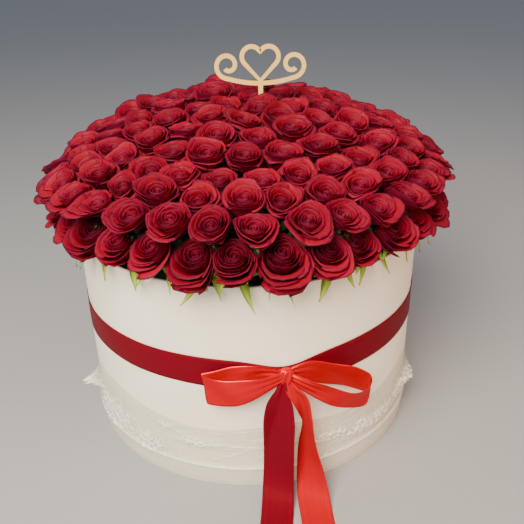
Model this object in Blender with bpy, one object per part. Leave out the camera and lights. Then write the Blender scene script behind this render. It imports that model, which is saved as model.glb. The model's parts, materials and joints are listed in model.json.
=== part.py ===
"""Round white card box filled with a dome of red roses.

The box stands in its own upturned lid, a block of flower foam inside holds every stem in a plain
hole, a satin ribbon is tied round the wall with a bow and two long tails, clear film is bunched
round the foot of the wall, and a thin plywood heart with scrolls stands on a stick among the roses.
Metres, +Z up, origin on the box axis at the underside of the lid, the front faces -Y.
"""

import math
import random

import bmesh
import bpy
from mathutils import Vector

# Box, lid and foam
WALL_RADIUS = 0.225
WALL_HEIGHT = 0.2757
WALL_CARD = 0.003
LID_CARD = 0.002
LID_RIM_HEIGHT = 0.029
GAP = 0.0003
SIDES = 48
FOAM_RADIUS = WALL_RADIUS - WALL_CARD - 0.0006
FOAM_EDGE_HEIGHT = 0.256
FOAM_CROWN = 0.034

# Rose heads: a squat dome of rows, from the lowest row over the rim to the one on top
HEAD_DEPTH = 0.031
BUD_RISE = 0.012
OUTER_PETALS = 5
INNER_PETALS = 4
CALYX_RADIUS = 0.0105
STEM_RADIUS = 0.0032
STEM_DEPTH = 0.034
STEM_SIDES = 3
ROSES_PER_NODE = 4
NEIGHBOUR_REACH = 0.085
PRESS_GAP = 0.0004
FUSE_OVERLAP = 0.0035
SEPAL_LENGTH = 0.024
SEPAL_WIDTH = 0.006
SEPAL_THICKNESS = 0.0012

# count, radius and height of the head centres, tilt from upright, head radius, azimuth of the
# first rose, radius at which the stems enter the foam
ROSE_ROWS = (
    (34, 0.2455, 0.3210, 52.0, 0.0290, -3.0, 0.193),
    (32, 0.2350, 0.3560, 36.0, 0.0300, 2.5, 0.170),
    (28, 0.2065, 0.3745, 21.0, 0.0305, -2.0, 0.150),
    (24, 0.1710, 0.3870, 14.0, 0.0300, 5.0, 0.125),
    (19, 0.1350, 0.3980, 10.0, 0.0300, 0.0, 0.098),
    (13, 0.0980, 0.4070, 7.0, 0.0310, 8.0, 0.071),
    (8, 0.0600, 0.4140, 5.0, 0.0310, 0.0, 0.044),
    (3, 0.0230, 0.4180, 3.0, 0.0300, 40.0, 0.018),
)
# The inner rows stand higher at the back by this share of the way from the middle
DOME_LEAN = 0.07

# Satin ribbon
RIBBON_WIDTH = 0.038
RIBBON_THICKNESS = 0.0008
BAND_HEIGHT = 0.170
KNOT_AZIMUTH = 9.2
KNOT_HEIGHT = 0.166
KNOT_HALF = (0.008, 0.0064, 0.010)
PLEAT_THICKNESS = 0.0026
LOOP_PLEATS = 0.013
TAIL_PLEATS = 0.008

# Clear film
FILM_TOP = 0.088
FILM_THICKNESS = 0.0008

# Plywood topper
PLY_THICKNESS = 0.003
PLY_STROKE = 0.0055
TOPPER_X = 0.020
TOPPER_Y = 0.017
TOPPER_BASE = 0.441
STICK_WIDTH = 0.006
STICK_TOP = 0.005
HEART_UP = 0.0285
HEART_TIP = 0.0244
LOBE_ACROSS = 0.0108
LOBE_UP = 0.005
LOBE_RADIUS = 0.0122


def clear_scene():
    for obj in list(bpy.data.objects):
        bpy.data.objects.remove(obj)


def material(name, colour, roughness, alpha=1.0):
    """A Principled material in the piece's own colour."""
    made = bpy.data.materials.new(name)
    made.use_nodes = True
    shader = made.node_tree.nodes["Principled BSDF"]
    shader.inputs["Base Color"].default_value = (*colour, 1.0)
    shader.inputs["Roughness"].default_value = roughness
    shader.inputs["Alpha"].default_value = alpha
    return made


def mesh_object(name, points, faces, finish, smooth_angle=35.0):
    """A closed solid from its points and faces, with every face turned outwards."""
    mesh = bpy.data.meshes.new(name)
    mesh.from_pydata([tuple(point) for point in points], [], faces)
    work = bmesh.new()
    work.from_mesh(mesh)
    bmesh.ops.recalc_face_normals(work, faces=work.faces)
    work.to_mesh(mesh)
    work.free()
    mesh.shade_smooth()
    mesh.set_sharp_from_angle(angle=math.radians(smooth_angle))
    if finish:
        mesh.materials.append(finish)
    obj = bpy.data.objects.new(name, mesh)
    bpy.context.scene.collection.objects.link(obj)
    return obj


def outward(azimuth):
    """Horizontal unit vector at an azimuth in degrees, 0 at the front and growing to the right."""
    turn = math.radians(azimuth)
    return Vector((math.sin(turn), -math.cos(turn), 0.0))


def along(azimuth):
    """Horizontal unit vector along the wall, to the right as the front sees it."""
    turn = math.radians(azimuth)
    return Vector((math.cos(turn), math.sin(turn), 0.0))


def revolved(name, rows, finish, closed=True):
    """A solid of rows round the box axis. A row is a height on the axis, or a function that
    gives radius and height at an azimuth."""
    points = []
    loops = []
    for row in rows:
        if callable(row):
            loop = []
            for side in range(SIDES):
                azimuth = 360.0 * side / SIDES
                radius, height = row(azimuth)
                loop.append(len(points))
                points.append(outward(azimuth) * radius + Vector((0, 0, height)))
        else:
            loop = [len(points)]
            points.append(Vector((0, 0, row)))
        loops.append(loop)
    pairs = list(zip(loops, loops[1:]))
    if closed:
        pairs.append((loops[-1], loops[0]))
    faces = []
    for first, second in pairs:
        for side in range(SIDES):
            after = (side + 1) % SIDES
            if len(first) == 1:
                faces.append((first[0], second[side], second[after]))
            elif len(second) == 1:
                faces.append((first[side], second[0], first[after]))
            else:
                faces.append((first[side], second[side], second[after], first[after]))
    return mesh_object(name, points, faces, finish)


def level(radius, height):
    """A row of one radius and height all the way round."""
    return lambda azimuth: (radius, height)


def bump(value, centre, width):
    """A smooth hump of height 1 at the centre, for azimuths in degrees and for plain lengths."""
    return math.exp(-(((value - centre) / width) ** 2))


def turn_from(azimuth, centre):
    """Signed azimuth from a centre, between -180 and 180."""
    return (azimuth - centre + 180.0) % 360.0 - 180.0


def box_lid():
    inner = WALL_RADIUS + GAP
    outer = inner + LID_CARD
    rows = (
        0.0,
        level(outer, 0.0),
        level(outer, LID_RIM_HEIGHT),
        level(inner, LID_RIM_HEIGHT),
        level(inner, LID_CARD),
        LID_CARD,
    )
    return revolved("box_lid", rows, material("white_card_lid", (0.86, 0.84, 0.80), 0.5), False)


def box_body():
    foot = LID_CARD + GAP
    floor = foot + WALL_CARD
    top = foot + WALL_HEIGHT
    inner = WALL_RADIUS - WALL_CARD
    rows = (
        foot,
        level(WALL_RADIUS, foot),
        level(WALL_RADIUS, top),
        level(inner, top),
        level(inner, floor),
        floor,
    )
    return revolved("box_body", rows, material("white_card_body", (0.88, 0.86, 0.82), 0.45), False)


def foam_height(radius):
    return FOAM_EDGE_HEIGHT + FOAM_CROWN * (1.0 - (radius / FOAM_RADIUS) ** 2)


def foam_blank():
    """The foam block with a low crown, before its holes."""
    foot = LID_CARD + WALL_CARD + 2 * GAP
    rows = [foot, level(FOAM_RADIUS, foot)]
    for share in (1.0, 0.5):
        rows.append(level(FOAM_RADIUS * share, foam_height(FOAM_RADIUS * share)))
    rows.append(foam_height(0.0))
    return revolved("foam", rows, material("flower_foam", (0.10, 0.22, 0.08), 0.95), False)


def band_centre(azimuth):
    """Middle height of the ribbon round the wall: it dips to the knot in front."""
    off = turn_from(azimuth, KNOT_AZIMUTH)
    side = 0.003 * math.sin(math.radians(azimuth))
    return BAND_HEIGHT + side - (BAND_HEIGHT - KNOT_HEIGHT) * bump(off, 0.0, 22.0)


def band_half(azimuth):
    """Half the ribbon's height, pinched at the knot."""
    off = turn_from(azimuth, KNOT_AZIMUTH)
    return 0.5 * RIBBON_WIDTH * (1.0 - 0.55 * bump(off, 0.0, 9.0))


def ribbon_band(satin):
    inner = WALL_RADIUS + GAP
    outer = inner + RIBBON_THICKNESS

    def edge(radius, sign):
        return lambda azimuth: (radius, band_centre(azimuth) + sign * band_half(azimuth))

    rows = (edge(inner, -1), edge(outer, -1), edge(outer, 1), edge(inner, 1))
    return revolved("ribbon_band", rows, satin)


def film_top(azimuth):
    left = 0.044 * bump(turn_from(azimuth, -56.0), 0.0, 20.0)
    right = 0.016 * bump(turn_from(azimuth, 60.0), 0.0, 22.0)
    return FILM_TOP + left + right + 0.004 * math.sin(math.radians(7 * azimuth + 20))


def film_fold(azimuth, height):
    """How far the crumpled film stands proud of its own thickness."""
    ridge = 0.0022 + 0.0016 * math.sin(math.radians(9 * azimuth + 400 * height * 57.3))
    ridge += 0.0012 * math.sin(math.radians(17 * azimuth + 40))
    tuft = 0.018 * bump(turn_from(azimuth, -55.0), 0.0, 6.0) * bump(height, 0.078, 0.020)
    tuft += 0.009 * bump(turn_from(azimuth, 50.0), 0.0, 6.0) * bump(height, 0.070, 0.020)
    return max(ridge, 0.0004) + tuft


def film_wrap():
    inner = WALL_RADIUS + GAP
    foot = LID_RIM_HEIGHT + GAP

    def fold(share):
        def row(azimuth):
            height = foot + share * (film_top(azimuth) - foot)
            fade = math.sin(math.pi * min(1.0, share + 0.16))
            return inner + FILM_THICKNESS + fade * film_fold(azimuth, height), height

        return row

    rows = [level(inner, foot)] + [fold(share) for share in (0.0, 0.3, 0.6, 0.84)]
    rows.append(lambda azimuth: (inner + FILM_THICKNESS, film_top(azimuth)))
    rows.append(lambda azimuth: (inner, film_top(azimuth)))
    return revolved("film_wrap", rows, material("clear_film", (0.92, 0.92, 0.90), 0.1, 0.35))


def smooth_path(knots, steps):
    """Rows of numbers read from a Catmull-Rom curve through the given rows."""
    made = []
    last = len(knots) - 1
    for first in range(last):
        four = [knots[min(max(first + shift, 0), last)] for shift in (-1, 0, 1, 2)]
        for step in range(steps):
            t = step / steps
            made.append(tuple(catmull(*values, t) for values in zip(*four)))
    made.append(tuple(knots[-1]))
    return made


def catmull(a, b, c, d, t):
    """A value on the curve from b to c, with a before and d after them."""
    square = (2 * a - 5 * b + 4 * c - d) * t**2
    cube = (3 * b - a - 3 * c + d) * t**3
    return 0.5 * (2 * b + (c - a) * t + square + cube)


def ribbon_strip(name, centres, across, widths, thicknesses, finish):
    """A flat strip along its centres. across gives the width direction at each of them."""
    points = []
    count = len(centres)
    for index, centre in enumerate(centres):
        ahead = centres[min(index + 1, count - 1)] - centres[max(index - 1, 0)]
        side = across[index].normalized()
        face = ahead.cross(side).normalized()
        half = 0.5 * widths[index] * side
        thick = 0.5 * thicknesses[index] * face
        points += [centre + half + thick, centre - half + thick]
        points += [centre - half - thick, centre + half - thick]
    faces = [(0, 1, 2, 3)]
    for index in range(count - 1):
        for corner in range(4):
            after = (corner + 1) % 4
            low = 4 * index
            faces.append((low + corner, low + after, low + 4 + after, low + 4 + corner))
    faces.append(tuple(4 * (count - 1) + corner for corner in (3, 2, 1, 0)))
    return mesh_object(name, points, faces, finish, 50.0)


def on_wall(shift, proud, height):
    """A point by its distance along the wall from the knot, its distance from the wall and its height."""
    azimuth = KNOT_AZIMUTH + math.degrees(shift / WALL_RADIUS)
    return outward(azimuth) * (WALL_RADIUS + proud) + Vector((0, 0, height))


def pinched(share, narrow):
    """Width and thickness of the ribbon, by how far it has opened out from the pleats at the knot."""
    width = narrow + (RIBBON_WIDTH - narrow) * share
    return width, PLEAT_THICKNESS + (RIBBON_THICKNESS - PLEAT_THICKNESS) * min(1.0, 2 * share)


# Distance along the wall from the knot, distance from the wall, height, how far it has opened out
LEFT_LOOP = (
    (-0.0084, 0.0045, 0.168, 0.0),
    (-0.030, 0.0045, 0.170, 0.6),
    (-0.060, 0.0055, 0.163, 1.0),
    (-0.086, 0.0095, 0.154, 1.0),
    (-0.095, 0.0170, 0.150, 1.0),
    (-0.086, 0.0240, 0.147, 1.0),
    (-0.062, 0.0270, 0.149, 1.0),
    (-0.034, 0.0215, 0.157, 0.6),
    (-0.0084, 0.0105, 0.166, 0.0),
)
RIGHT_LOOP = (
    (0.0084, 0.0045, 0.168, 0.0),
    (0.030, 0.0055, 0.168, 0.6),
    (0.058, 0.0085, 0.160, 1.0),
    (0.080, 0.0150, 0.149, 1.0),
    (0.089, 0.0260, 0.139, 1.0),
    (0.081, 0.0350, 0.133, 1.0),
    (0.060, 0.0340, 0.137, 0.9),
    (0.034, 0.0240, 0.150, 0.5),
    (0.0084, 0.0105, 0.165, 0.0),
)


def bow_loop(name, knots, satin):
    rows = smooth_path(knots, 3)
    centres = [on_wall(*row[:3]) for row in rows]
    across = [Vector((0.0, 0.12, 1.0)) for row in rows]
    sizes = [pinched(min(max(row[3], 0.0), 1.0), LOOP_PLEATS) for row in rows]
    return ribbon_strip(name, centres, across, [s[0] for s in sizes], [s[1] for s in sizes], satin)


# x, y, z and how far the ribbon has opened out
LEFT_TAIL = (
    (0.0315, -0.2355, 0.1553, 0.0),
    (0.0290, -0.2400, 0.130, 0.7),
    (0.0285, -0.2405, 0.095, 1.0),
    (0.0280, -0.2400, 0.050, 1.0),
    (0.0270, -0.2440, 0.017, 1.0),
    (0.0255, -0.2560, 0.0030, 1.0),
    (0.0240, -0.2700, 0.0008, 1.0),
    (0.0180, -0.3250, 0.0006, 1.0),
)
RIGHT_TAIL = (
    (0.0410, -0.2345, 0.1553, 0.0),
    (0.0600, -0.2345, 0.125, 0.7),
    (0.0655, -0.2330, 0.090, 1.0),
    (0.0700, -0.2330, 0.048, 1.0),
    (0.0705, -0.2390, 0.017, 1.0),
    (0.0715, -0.2530, 0.0030, 1.0),
    (0.0720, -0.2680, 0.0008, 1.0),
    (0.0755, -0.3250, 0.0006, 1.0),
)


def ribbon_tail(name, knots, satin):
    rows = smooth_path(knots, 2)
    lowest = 0.5 * RIBBON_THICKNESS + 0.0001
    centres = [Vector((row[0], row[1], max(row[2], lowest))) for row in rows]
    across = [Vector((1.0, 0.0, 0.0)) for row in rows]
    sizes = [pinched(min(max(row[3], 0.0), 1.0), TAIL_PLEATS) for row in rows]
    return ribbon_strip(name, centres, across, [s[0] for s in sizes], [s[1] for s in sizes], satin)


def bow_knot(satin):
    """The knot: a small rounded block in front of the band."""
    proud = GAP + RIBBON_THICKNESS + GAP + KNOT_HALF[1]
    centre = on_wall(0.0, proud, KNOT_HEIGHT)
    side = along(KNOT_AZIMUTH)
    out = outward(KNOT_AZIMUTH)
    work = bmesh.new()
    bmesh.ops.create_cube(work, size=2.0)
    bmesh.ops.bevel(
        work, geom=work.edges[:], offset=0.42, segments=2, profile=0.5, affect="EDGES"
    )
    work.verts.index_update()
    points = []
    for vert in work.verts:
        x, y, z = vert.co
        waist = (1.0 - 0.18 * math.cos(math.pi * z)) / 1.18 if y > 0 else 1.0
        height = Vector((0, 0, z * KNOT_HALF[2]))
        points.append(centre + side * (x * KNOT_HALF[0]) + out * (y * KNOT_HALF[1] * waist) + height)
    faces = [tuple(vert.index for vert in face.verts) for face in work.faces]
    work.free()
    return mesh_object("bow_knot", points, faces, satin)


class Rose:
    """One rose: the centre of its head at the outer petals, its axis and its stem's way down."""

    def __init__(self, azimuth, radius, height, tilt, head_radius, foam_radius, draw):
        self.azimuth = azimuth + draw.uniform(-1.0, 1.0) * (radius > 0.08)
        radius += draw.uniform(-0.0015, 0.0015) * (radius > 0)
        out = outward(self.azimuth)
        height += DOME_LEAN * out.y * radius * (1.0 - (radius / ROSE_ROWS[0][1]) ** 2)
        self.centre = out * radius + Vector((0, 0, height + draw.uniform(-0.0015, 0.0015)))
        lean = math.radians(tilt + draw.uniform(-4, 4))
        swing = draw.uniform(-0.07, 0.07)
        right = along(self.azimuth)
        upright = Vector((0, 0, math.cos(lean)))
        self.axis = (out * math.sin(lean) + right * swing + upright).normalized()
        self.east = (right - self.axis * self.axis.dot(right)).normalized()
        self.north = self.axis.cross(self.east)
        self.size = head_radius * draw.uniform(0.97, 1.05)
        self.turn = 18.0 + draw.uniform(-9, 9)
        self.hand = 1.0 if draw.random() < 0.5 else -1.0
        self.neck = self.centre - self.axis * HEAD_DEPTH
        self.entry = out * foam_radius
        self.entry.z = foam_height(foam_radius)
        self.group = None

    def settle(self, planes):
        """Moves the neck clear of the neighbours' heads, then runs the stem down to its hole."""
        room = STEM_RADIUS + PRESS_GAP
        self.neck = pressed(self.neck, self, [(normal, limit - room) for normal, limit in planes], 1.0)
        self.stem = (self.entry - self.neck).normalized()
        self.foot = self.entry + self.stem * STEM_DEPTH

    def ring(self, spots):
        """Points of the head from angle, radius and rise, with the angle kept for joining rings."""
        made = []
        for angle, radius, rise in sorted(spots):
            turn = math.radians(angle)
            side = self.east * math.cos(turn) + self.north * math.sin(turn)
            made.append((angle, self.centre + side * radius + self.axis * rise))
        return made

    def petals(self, count, tip, notch, tip_rise, notch_rise, turn):
        """A tier of petals: a rounded tip and a notch for each, swept one way like a pinwheel."""
        step = 360.0 / count
        spots = []
        for petal in range(count):
            angle = (petal * step + turn) % 360.0
            spots.append((angle, tip * self.size, tip_rise))
            spots.append(((angle + step * (0.5 + 0.12 * self.hand)) % 360.0, notch * self.size, notch_rise))
        return self.ring(spots)

    def valley(self, count, radius, rise, turn):
        step = 360.0 / count
        return self.ring([((petal * step + turn) % 360.0, radius, rise) for petal in range(count)])

    def tube(self, centre, radius, grow=1.0):
        """Corners of the three-sided stem round a point."""
        side = self.stem.cross(self.east).normalized()
        other = self.stem.cross(side)
        made = []
        for corner in range(STEM_SIDES):
            turn = 2 * math.pi * corner / STEM_SIDES
            made.append(centre + (side * math.cos(turn) + other * math.sin(turn)) * radius * grow)
        return made

    def head_rings(self):
        """Rings from the calyx over two tiers of petals to the foot of the bud, each with the
        share of the room between the neighbours that it may fill."""
        size = self.size
        turn = self.turn
        return [
            (1.00, self.valley(OUTER_PETALS, CALYX_RADIUS, -0.72 * HEAD_DEPTH, turn + 20)),
            (1.00, self.petals(OUTER_PETALS, 1.02, 0.90, -0.004, 0.001, turn)),
            (0.78, self.valley(OUTER_PETALS, 0.66 * size, -0.003, turn + 50)),
            (0.80, self.petals(INNER_PETALS, 0.72, 0.54, 0.0060, 0.0085, turn + 36)),
            (0.40, self.valley(INNER_PETALS, 0.33 * size, 0.0025, turn + 15)),
        ]


def stitch(faces, first, second):
    """Triangles between two rings of different counts, each given as angles and point numbers."""
    first = sorted(first)
    second = sorted(second)
    one = first + [(first[0][0] + 360.0, first[0][1])]
    two = second + [(second[0][0] + 360.0, second[0][1])]
    i = 0
    j = 0
    while i < len(first) or j < len(second):
        if j == len(second) or (i < len(first) and one[i + 1][0] <= two[j + 1][0]):
            faces.append((one[i][1], one[i + 1][1], two[j][1]))
            i += 1
        else:
            faces.append((one[i][1], two[j + 1][1], two[j][1]))
            j += 1


def pressed(point, rose, neighbours, share):
    """The point kept on the rose's own side of the middle plane to each neighbour."""
    for _ in range(12):
        for normal, limit in neighbours:
            past = (point - rose.centre).dot(normal) - limit * share
            if past > 0:
                point = point - normal * past
    return point


def neighbour_planes(rose, roses):
    """Planes that part a rose from those round it and from the topper's stick."""
    found = []
    for other in roses:
        away = other.centre - rose.centre
        if other is rose or away.length > NEIGHBOUR_REACH:
            continue
        slack = FUSE_OVERLAP if other.group == rose.group else -PRESS_GAP
        found.append((away.normalized(), 0.5 * away.length + slack))
    stick = Vector((TOPPER_X, TOPPER_Y, 0)) - Vector((rose.centre.x, rose.centre.y, 0))
    if stick.length < 0.5 * NEIGHBOUR_REACH:
        found.append((stick.normalized(), stick.length - 0.5 * STICK_WIDTH - 0.0012))
    return found


def rose_solid(name, rose, roses, finish):
    """One rose as a closed solid: three-sided stem, calyx, outer and middle petals, bud."""
    planes = neighbour_planes(rose, roses)
    points = rose.tube(rose.foot, STEM_RADIUS) + rose.tube(rose.neck, STEM_RADIUS)
    faces = [(2, 1, 0)]
    for corner in range(STEM_SIDES):
        after = (corner + 1) % STEM_SIDES
        faces.append((corner, after, STEM_SIDES + after, STEM_SIDES + corner))
    previous = []
    for corner in range(STEM_SIDES):
        away = points[STEM_SIDES + corner] - rose.neck
        angle = math.degrees(math.atan2(away.dot(rose.north), away.dot(rose.east))) % 360.0
        previous.append((angle, STEM_SIDES + corner))
    for share, ring in rose.head_rings():
        numbered = []
        for angle, point in ring:
            numbered.append((angle % 360.0, len(points)))
            points.append(pressed(point, rose, planes, share))
        stitch(faces, previous, numbered)
        previous = numbered
    top = len(points)
    points.append(rose.centre + rose.axis * BUD_RISE)
    for index in range(len(previous)):
        after = (index + 1) % len(previous)
        faces.append((sorted(previous)[index][1], sorted(previous)[after][1], top))
    return mesh_object(name, points, faces, finish)


def sepal_solid(name, rose, shift, finish):
    """A narrow pointed leaf that hangs from the calyx over the rim."""
    out = outward(rose.azimuth)
    side = along(rose.azimuth)
    root = rose.centre - rose.axis * 0.55 * HEAD_DEPTH + side * shift
    rise = Vector((0, 0, 1))
    knee = root + out * 0.62 * SEPAL_LENGTH - rise * 0.20 * SEPAL_LENGTH
    tip = root + out * 0.80 * SEPAL_LENGTH - rise * 0.80 * SEPAL_LENGTH + side * 0.3 * shift
    half = side * 0.5 * SEPAL_WIDTH
    thick = (out + rise) * 0.5 * SEPAL_THICKNESS
    points = [root + half + thick, root - half + thick, root - thick * 2]
    points += [knee + half + thick, knee - half + thick, knee - thick * 2, tip]
    faces = [(0, 1, 2), (3, 6, 4), (4, 6, 5), (5, 6, 3)]
    for corner in range(3):
        after = (corner + 1) % 3
        faces.append((corner, corner + 3, after + 3, after))
    return mesh_object(name, points, faces, finish)


def place_roses():
    """Every rose of the dome, row by row, in groups of neighbours along its row."""
    draw = random.Random(11)
    roses = []
    for row, (count, radius, height, tilt, head_radius, start, foam_radius) in enumerate(ROSE_ROWS):
        for place in range(count):
            azimuth = start + 360.0 * place / count
            rose = Rose(azimuth, radius, height, tilt, head_radius, foam_radius, draw)
            rose.group = (row, place // ROSES_PER_NODE)
            roses.append(rose)
    for rose in roses:
        rose.settle(neighbour_planes(rose, roses))
    return roses


def fused(name, solids):
    """One node from overlapping solids, by a single union on a collection."""
    first, rest = solids[0], solids[1:]
    if rest:
        others = bpy.data.collections.new(name + "_others")
        bpy.context.scene.collection.children.link(others)
        for solid in rest:
            bpy.context.scene.collection.objects.unlink(solid)
            others.objects.link(solid)
        union = first.modifiers.new("union", "BOOLEAN")
        union.operation = "UNION"
        union.operand_type = "COLLECTION"
        union.collection = others
        union.solver = "MANIFOLD"
        bpy.context.view_layer.update()
        evaluated = first.evaluated_get(bpy.context.evaluated_depsgraph_get())
        mesh = bpy.data.meshes.new_from_object(evaluated)
        first.modifiers.clear()
        first.data = mesh
        for solid in rest:
            bpy.data.objects.remove(solid)
        bpy.data.collections.remove(others)
    first.name = name
    first.data.name = name
    return first


def rose_nodes(roses):
    red = material("rose_petals", (0.42, 0.012, 0.018), 0.6)
    groups = {}
    for rose in roses:
        groups.setdefault(rose.group, []).append(rose)
    for (row, place), members in groups.items():
        solids = []
        for index, rose in enumerate(members):
            solids.append(rose_solid(f"rose_{index}", rose, roses, red))
            if row == 0:
                solids.append(sepal_solid(f"sepal_{index}", rose, 0.005 * rose.hand, red))
        fused(f"roses_row{row + 1}_{place + 1:02d}", solids)


def drill_foam(foam, roses):
    """Plain holes for the stems and the topper's stick, a little wider than what stands in them."""
    points = []
    faces = []
    for rose in roses:
        low = len(points)
        grow = (STEM_RADIUS + 2.4 * GAP) / STEM_RADIUS
        points += rose.tube(rose.foot + rose.stem * GAP, STEM_RADIUS, grow)
        points += rose.tube(rose.foot - rose.stem * (STEM_DEPTH + 0.016), STEM_RADIUS, grow)
        high = low + STEM_SIDES
        faces += [(low + 2, low + 1, low), (high, high + 1, high + 2)]
        for corner in range(STEM_SIDES):
            after = (corner + 1) % STEM_SIDES
            faces.append((low + corner, low + after, high + after, high + corner))
    low = len(points)
    half_wide = 0.5 * STICK_WIDTH + GAP
    half_thick = 0.5 * PLY_THICKNESS + GAP
    foot = stick_foot() - GAP
    for height in (foot, foam_height(0.0) + 0.010):
        for wide, thick in ((-1, -1), (1, -1), (1, 1), (-1, 1)):
            points.append(Vector((TOPPER_X + wide * half_wide, TOPPER_Y + thick * half_thick, height)))
    faces += [(low + 3, low + 2, low + 1, low), (low + 4, low + 5, low + 6, low + 7)]
    for corner in range(4):
        after = (corner + 1) % 4
        faces.append((low + corner, low + after, low + 4 + after, low + 4 + corner))
    drill = mesh_object("foam_drill", points, faces, None)
    drill.hide_render = True
    drill.display_type = "WIRE"
    cut = foam.modifiers.new("holes", "BOOLEAN")
    cut.operation = "DIFFERENCE"
    cut.object = drill
    cut.solver = "MANIFOLD"


def stick_foot():
    return foam_height(math.hypot(TOPPER_X, TOPPER_Y)) - STEM_DEPTH


def ply_stroke(name, line, finish, closed=False, width=PLY_STROKE):
    """A stroke of even width cut from the sheet, along points given across and up."""
    count = len(line)
    points = []
    for index, (x, z) in enumerate(line):
        if closed:
            before, after = line[index - 1], line[(index + 1) % count]
        else:
            before, after = line[max(index - 1, 0)], line[min(index + 1, count - 1)]
        ahead = Vector((after[0] - before[0], 0, after[1] - before[1])).normalized()
        across = Vector((ahead.z, 0, -ahead.x)) * 0.5 * width
        centre = Vector((TOPPER_X + x, TOPPER_Y, TOPPER_BASE + z))
        deep = Vector((0, 0.5 * PLY_THICKNESS, 0))
        points += [centre + across - deep, centre - across - deep]
        points += [centre - across + deep, centre + across + deep]
    faces = []
    for index in range(count if closed else count - 1):
        low = 4 * index
        high = 4 * ((index + 1) % count)
        for corner in range(4):
            after = (corner + 1) % 4
            faces.append((low + corner, low + after, high + after, high + corner))
    if not closed:
        faces.append((0, 1, 2, 3))
        faces.append(tuple(4 * (count - 1) + corner for corner in (3, 2, 1, 0)))
    return mesh_object(name, points, faces, finish)


def heart_line(up, steps):
    """A heart's middle line, as across and up: two round lobes and straight sides down to a tip."""
    notch = math.acos(-LOBE_ACROSS / LOBE_RADIUS)
    drop = LOBE_UP + HEART_TIP
    reach = math.hypot(LOBE_ACROSS, drop)
    touch = math.asin(LOBE_RADIUS / reach) + math.atan2(LOBE_ACROSS, drop)
    lobe = []
    for step in range(steps + 1):
        turn = notch - (notch + touch) * step / steps
        lobe.append((LOBE_ACROSS + LOBE_RADIUS * math.cos(turn), LOBE_UP + LOBE_RADIUS * math.sin(turn)))
    other = [(-x, z) for x, z in reversed(lobe[1:])]
    return [(x, up + z) for x, z in lobe + [(0.0, -HEART_TIP)] + other]


def scroll_line(side):
    """A scroll that leaves the foot of the heart, rises outwards and curls in on itself."""
    line = []
    for index in range(18):
        t = index / 17.0
        if t < 0.45:
            share = t / 0.45
            line.append((side * (0.001 + 0.040 * share), 0.001 + 0.006 * share**2))
        else:
            share = (t - 0.45) / 0.55
            turn = math.radians(-90 + 400 * share)
            radius = 0.0165 * (1.0 - 0.66 * share)
            line.append((side * (0.041 + radius * math.cos(turn)), 0.0235 + radius * math.sin(turn)))
    return line


def topper():
    ply = material("plywood", (0.80, 0.62, 0.36), 0.6)
    stick = [(0.0, stick_foot() - TOPPER_BASE), (0.0, STICK_TOP)]
    solids = [
        ply_stroke("heart", heart_line(HEART_UP, 8), ply, closed=True),
        ply_stroke("stick", stick, ply, width=STICK_WIDTH),
        ply_stroke("left_scroll", scroll_line(-1), ply),
        ply_stroke("right_scroll", scroll_line(1), ply),
    ]
    return fused("topper", solids)


def main():
    clear_scene()
    box_lid()
    box_body()
    foam = foam_blank()
    satin = material("satin_ribbon", (0.62, 0.02, 0.02), 0.35)
    ribbon_band(satin)
    bow_knot(satin)
    bow_loop("bow_loop_left", LEFT_LOOP, satin)
    bow_loop("bow_loop_right", RIGHT_LOOP, satin)
    ribbon_tail("ribbon_tail_left", LEFT_TAIL, satin)
    ribbon_tail("ribbon_tail_right", RIGHT_TAIL, satin)
    film_wrap()
    topper()
    roses = place_roses()
    rose_nodes(roses)
    drill_foam(foam, roses)


main()
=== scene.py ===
import json
import math
import random

import bmesh
import bpy
import numpy as np
from mathutils import Matrix, Vector, noise

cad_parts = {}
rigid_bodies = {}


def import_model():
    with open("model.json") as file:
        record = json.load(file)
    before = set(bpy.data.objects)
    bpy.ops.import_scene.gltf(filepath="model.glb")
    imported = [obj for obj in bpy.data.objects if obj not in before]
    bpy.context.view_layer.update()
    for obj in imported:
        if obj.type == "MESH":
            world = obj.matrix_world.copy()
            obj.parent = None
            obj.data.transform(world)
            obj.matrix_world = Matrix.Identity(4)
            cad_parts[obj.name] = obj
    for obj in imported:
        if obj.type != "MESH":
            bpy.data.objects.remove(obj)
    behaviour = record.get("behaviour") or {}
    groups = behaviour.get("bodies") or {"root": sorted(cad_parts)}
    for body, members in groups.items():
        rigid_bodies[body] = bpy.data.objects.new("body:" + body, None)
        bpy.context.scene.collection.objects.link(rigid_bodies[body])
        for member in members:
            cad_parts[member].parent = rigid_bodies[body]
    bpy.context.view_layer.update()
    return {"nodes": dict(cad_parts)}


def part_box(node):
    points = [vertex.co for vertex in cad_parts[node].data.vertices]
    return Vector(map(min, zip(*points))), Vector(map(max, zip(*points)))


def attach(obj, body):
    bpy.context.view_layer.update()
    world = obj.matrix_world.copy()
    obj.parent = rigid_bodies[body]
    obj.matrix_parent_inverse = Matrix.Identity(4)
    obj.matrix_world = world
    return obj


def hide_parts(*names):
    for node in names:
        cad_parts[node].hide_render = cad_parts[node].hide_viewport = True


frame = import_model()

# Sizes shared with the solids, in metres
WALL_RADIUS = 0.225
WALL_TOP = 0.278
WALL_FOOT = 0.0023
WALL_CARD = 0.003
LID_CARD = 0.002
LID_RIM_HEIGHT = 0.029
GAP = 0.0003
FOAM_RADIUS = WALL_RADIUS - WALL_CARD - 0.0006
FOAM_EDGE_HEIGHT = 0.256
FOAM_CROWN = 0.034
HEAD_DEPTH = 0.031
STEM_DEPTH = 0.034
ROSES_PER_NODE = 4
CROWD_REACH = 0.085
RIBBON_WIDTH = 0.038
BAND_HEIGHT = 0.170
KNOT_AZIMUTH = 9.2
KNOT_HEIGHT = 0.166
FILM_TOP = 0.088
FILM_CRUMPLE_SCALE = 170.0
TOPPER_X = 0.020
TOPPER_Y = 0.017
TOPPER_BASE = 0.441
PLY_THICKNESS = 0.003
STICK_TOP = 0.005
HEART_UP = 0.0285
HEART_TIP = 0.0244
LOBE_ACROSS = 0.0108
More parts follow.
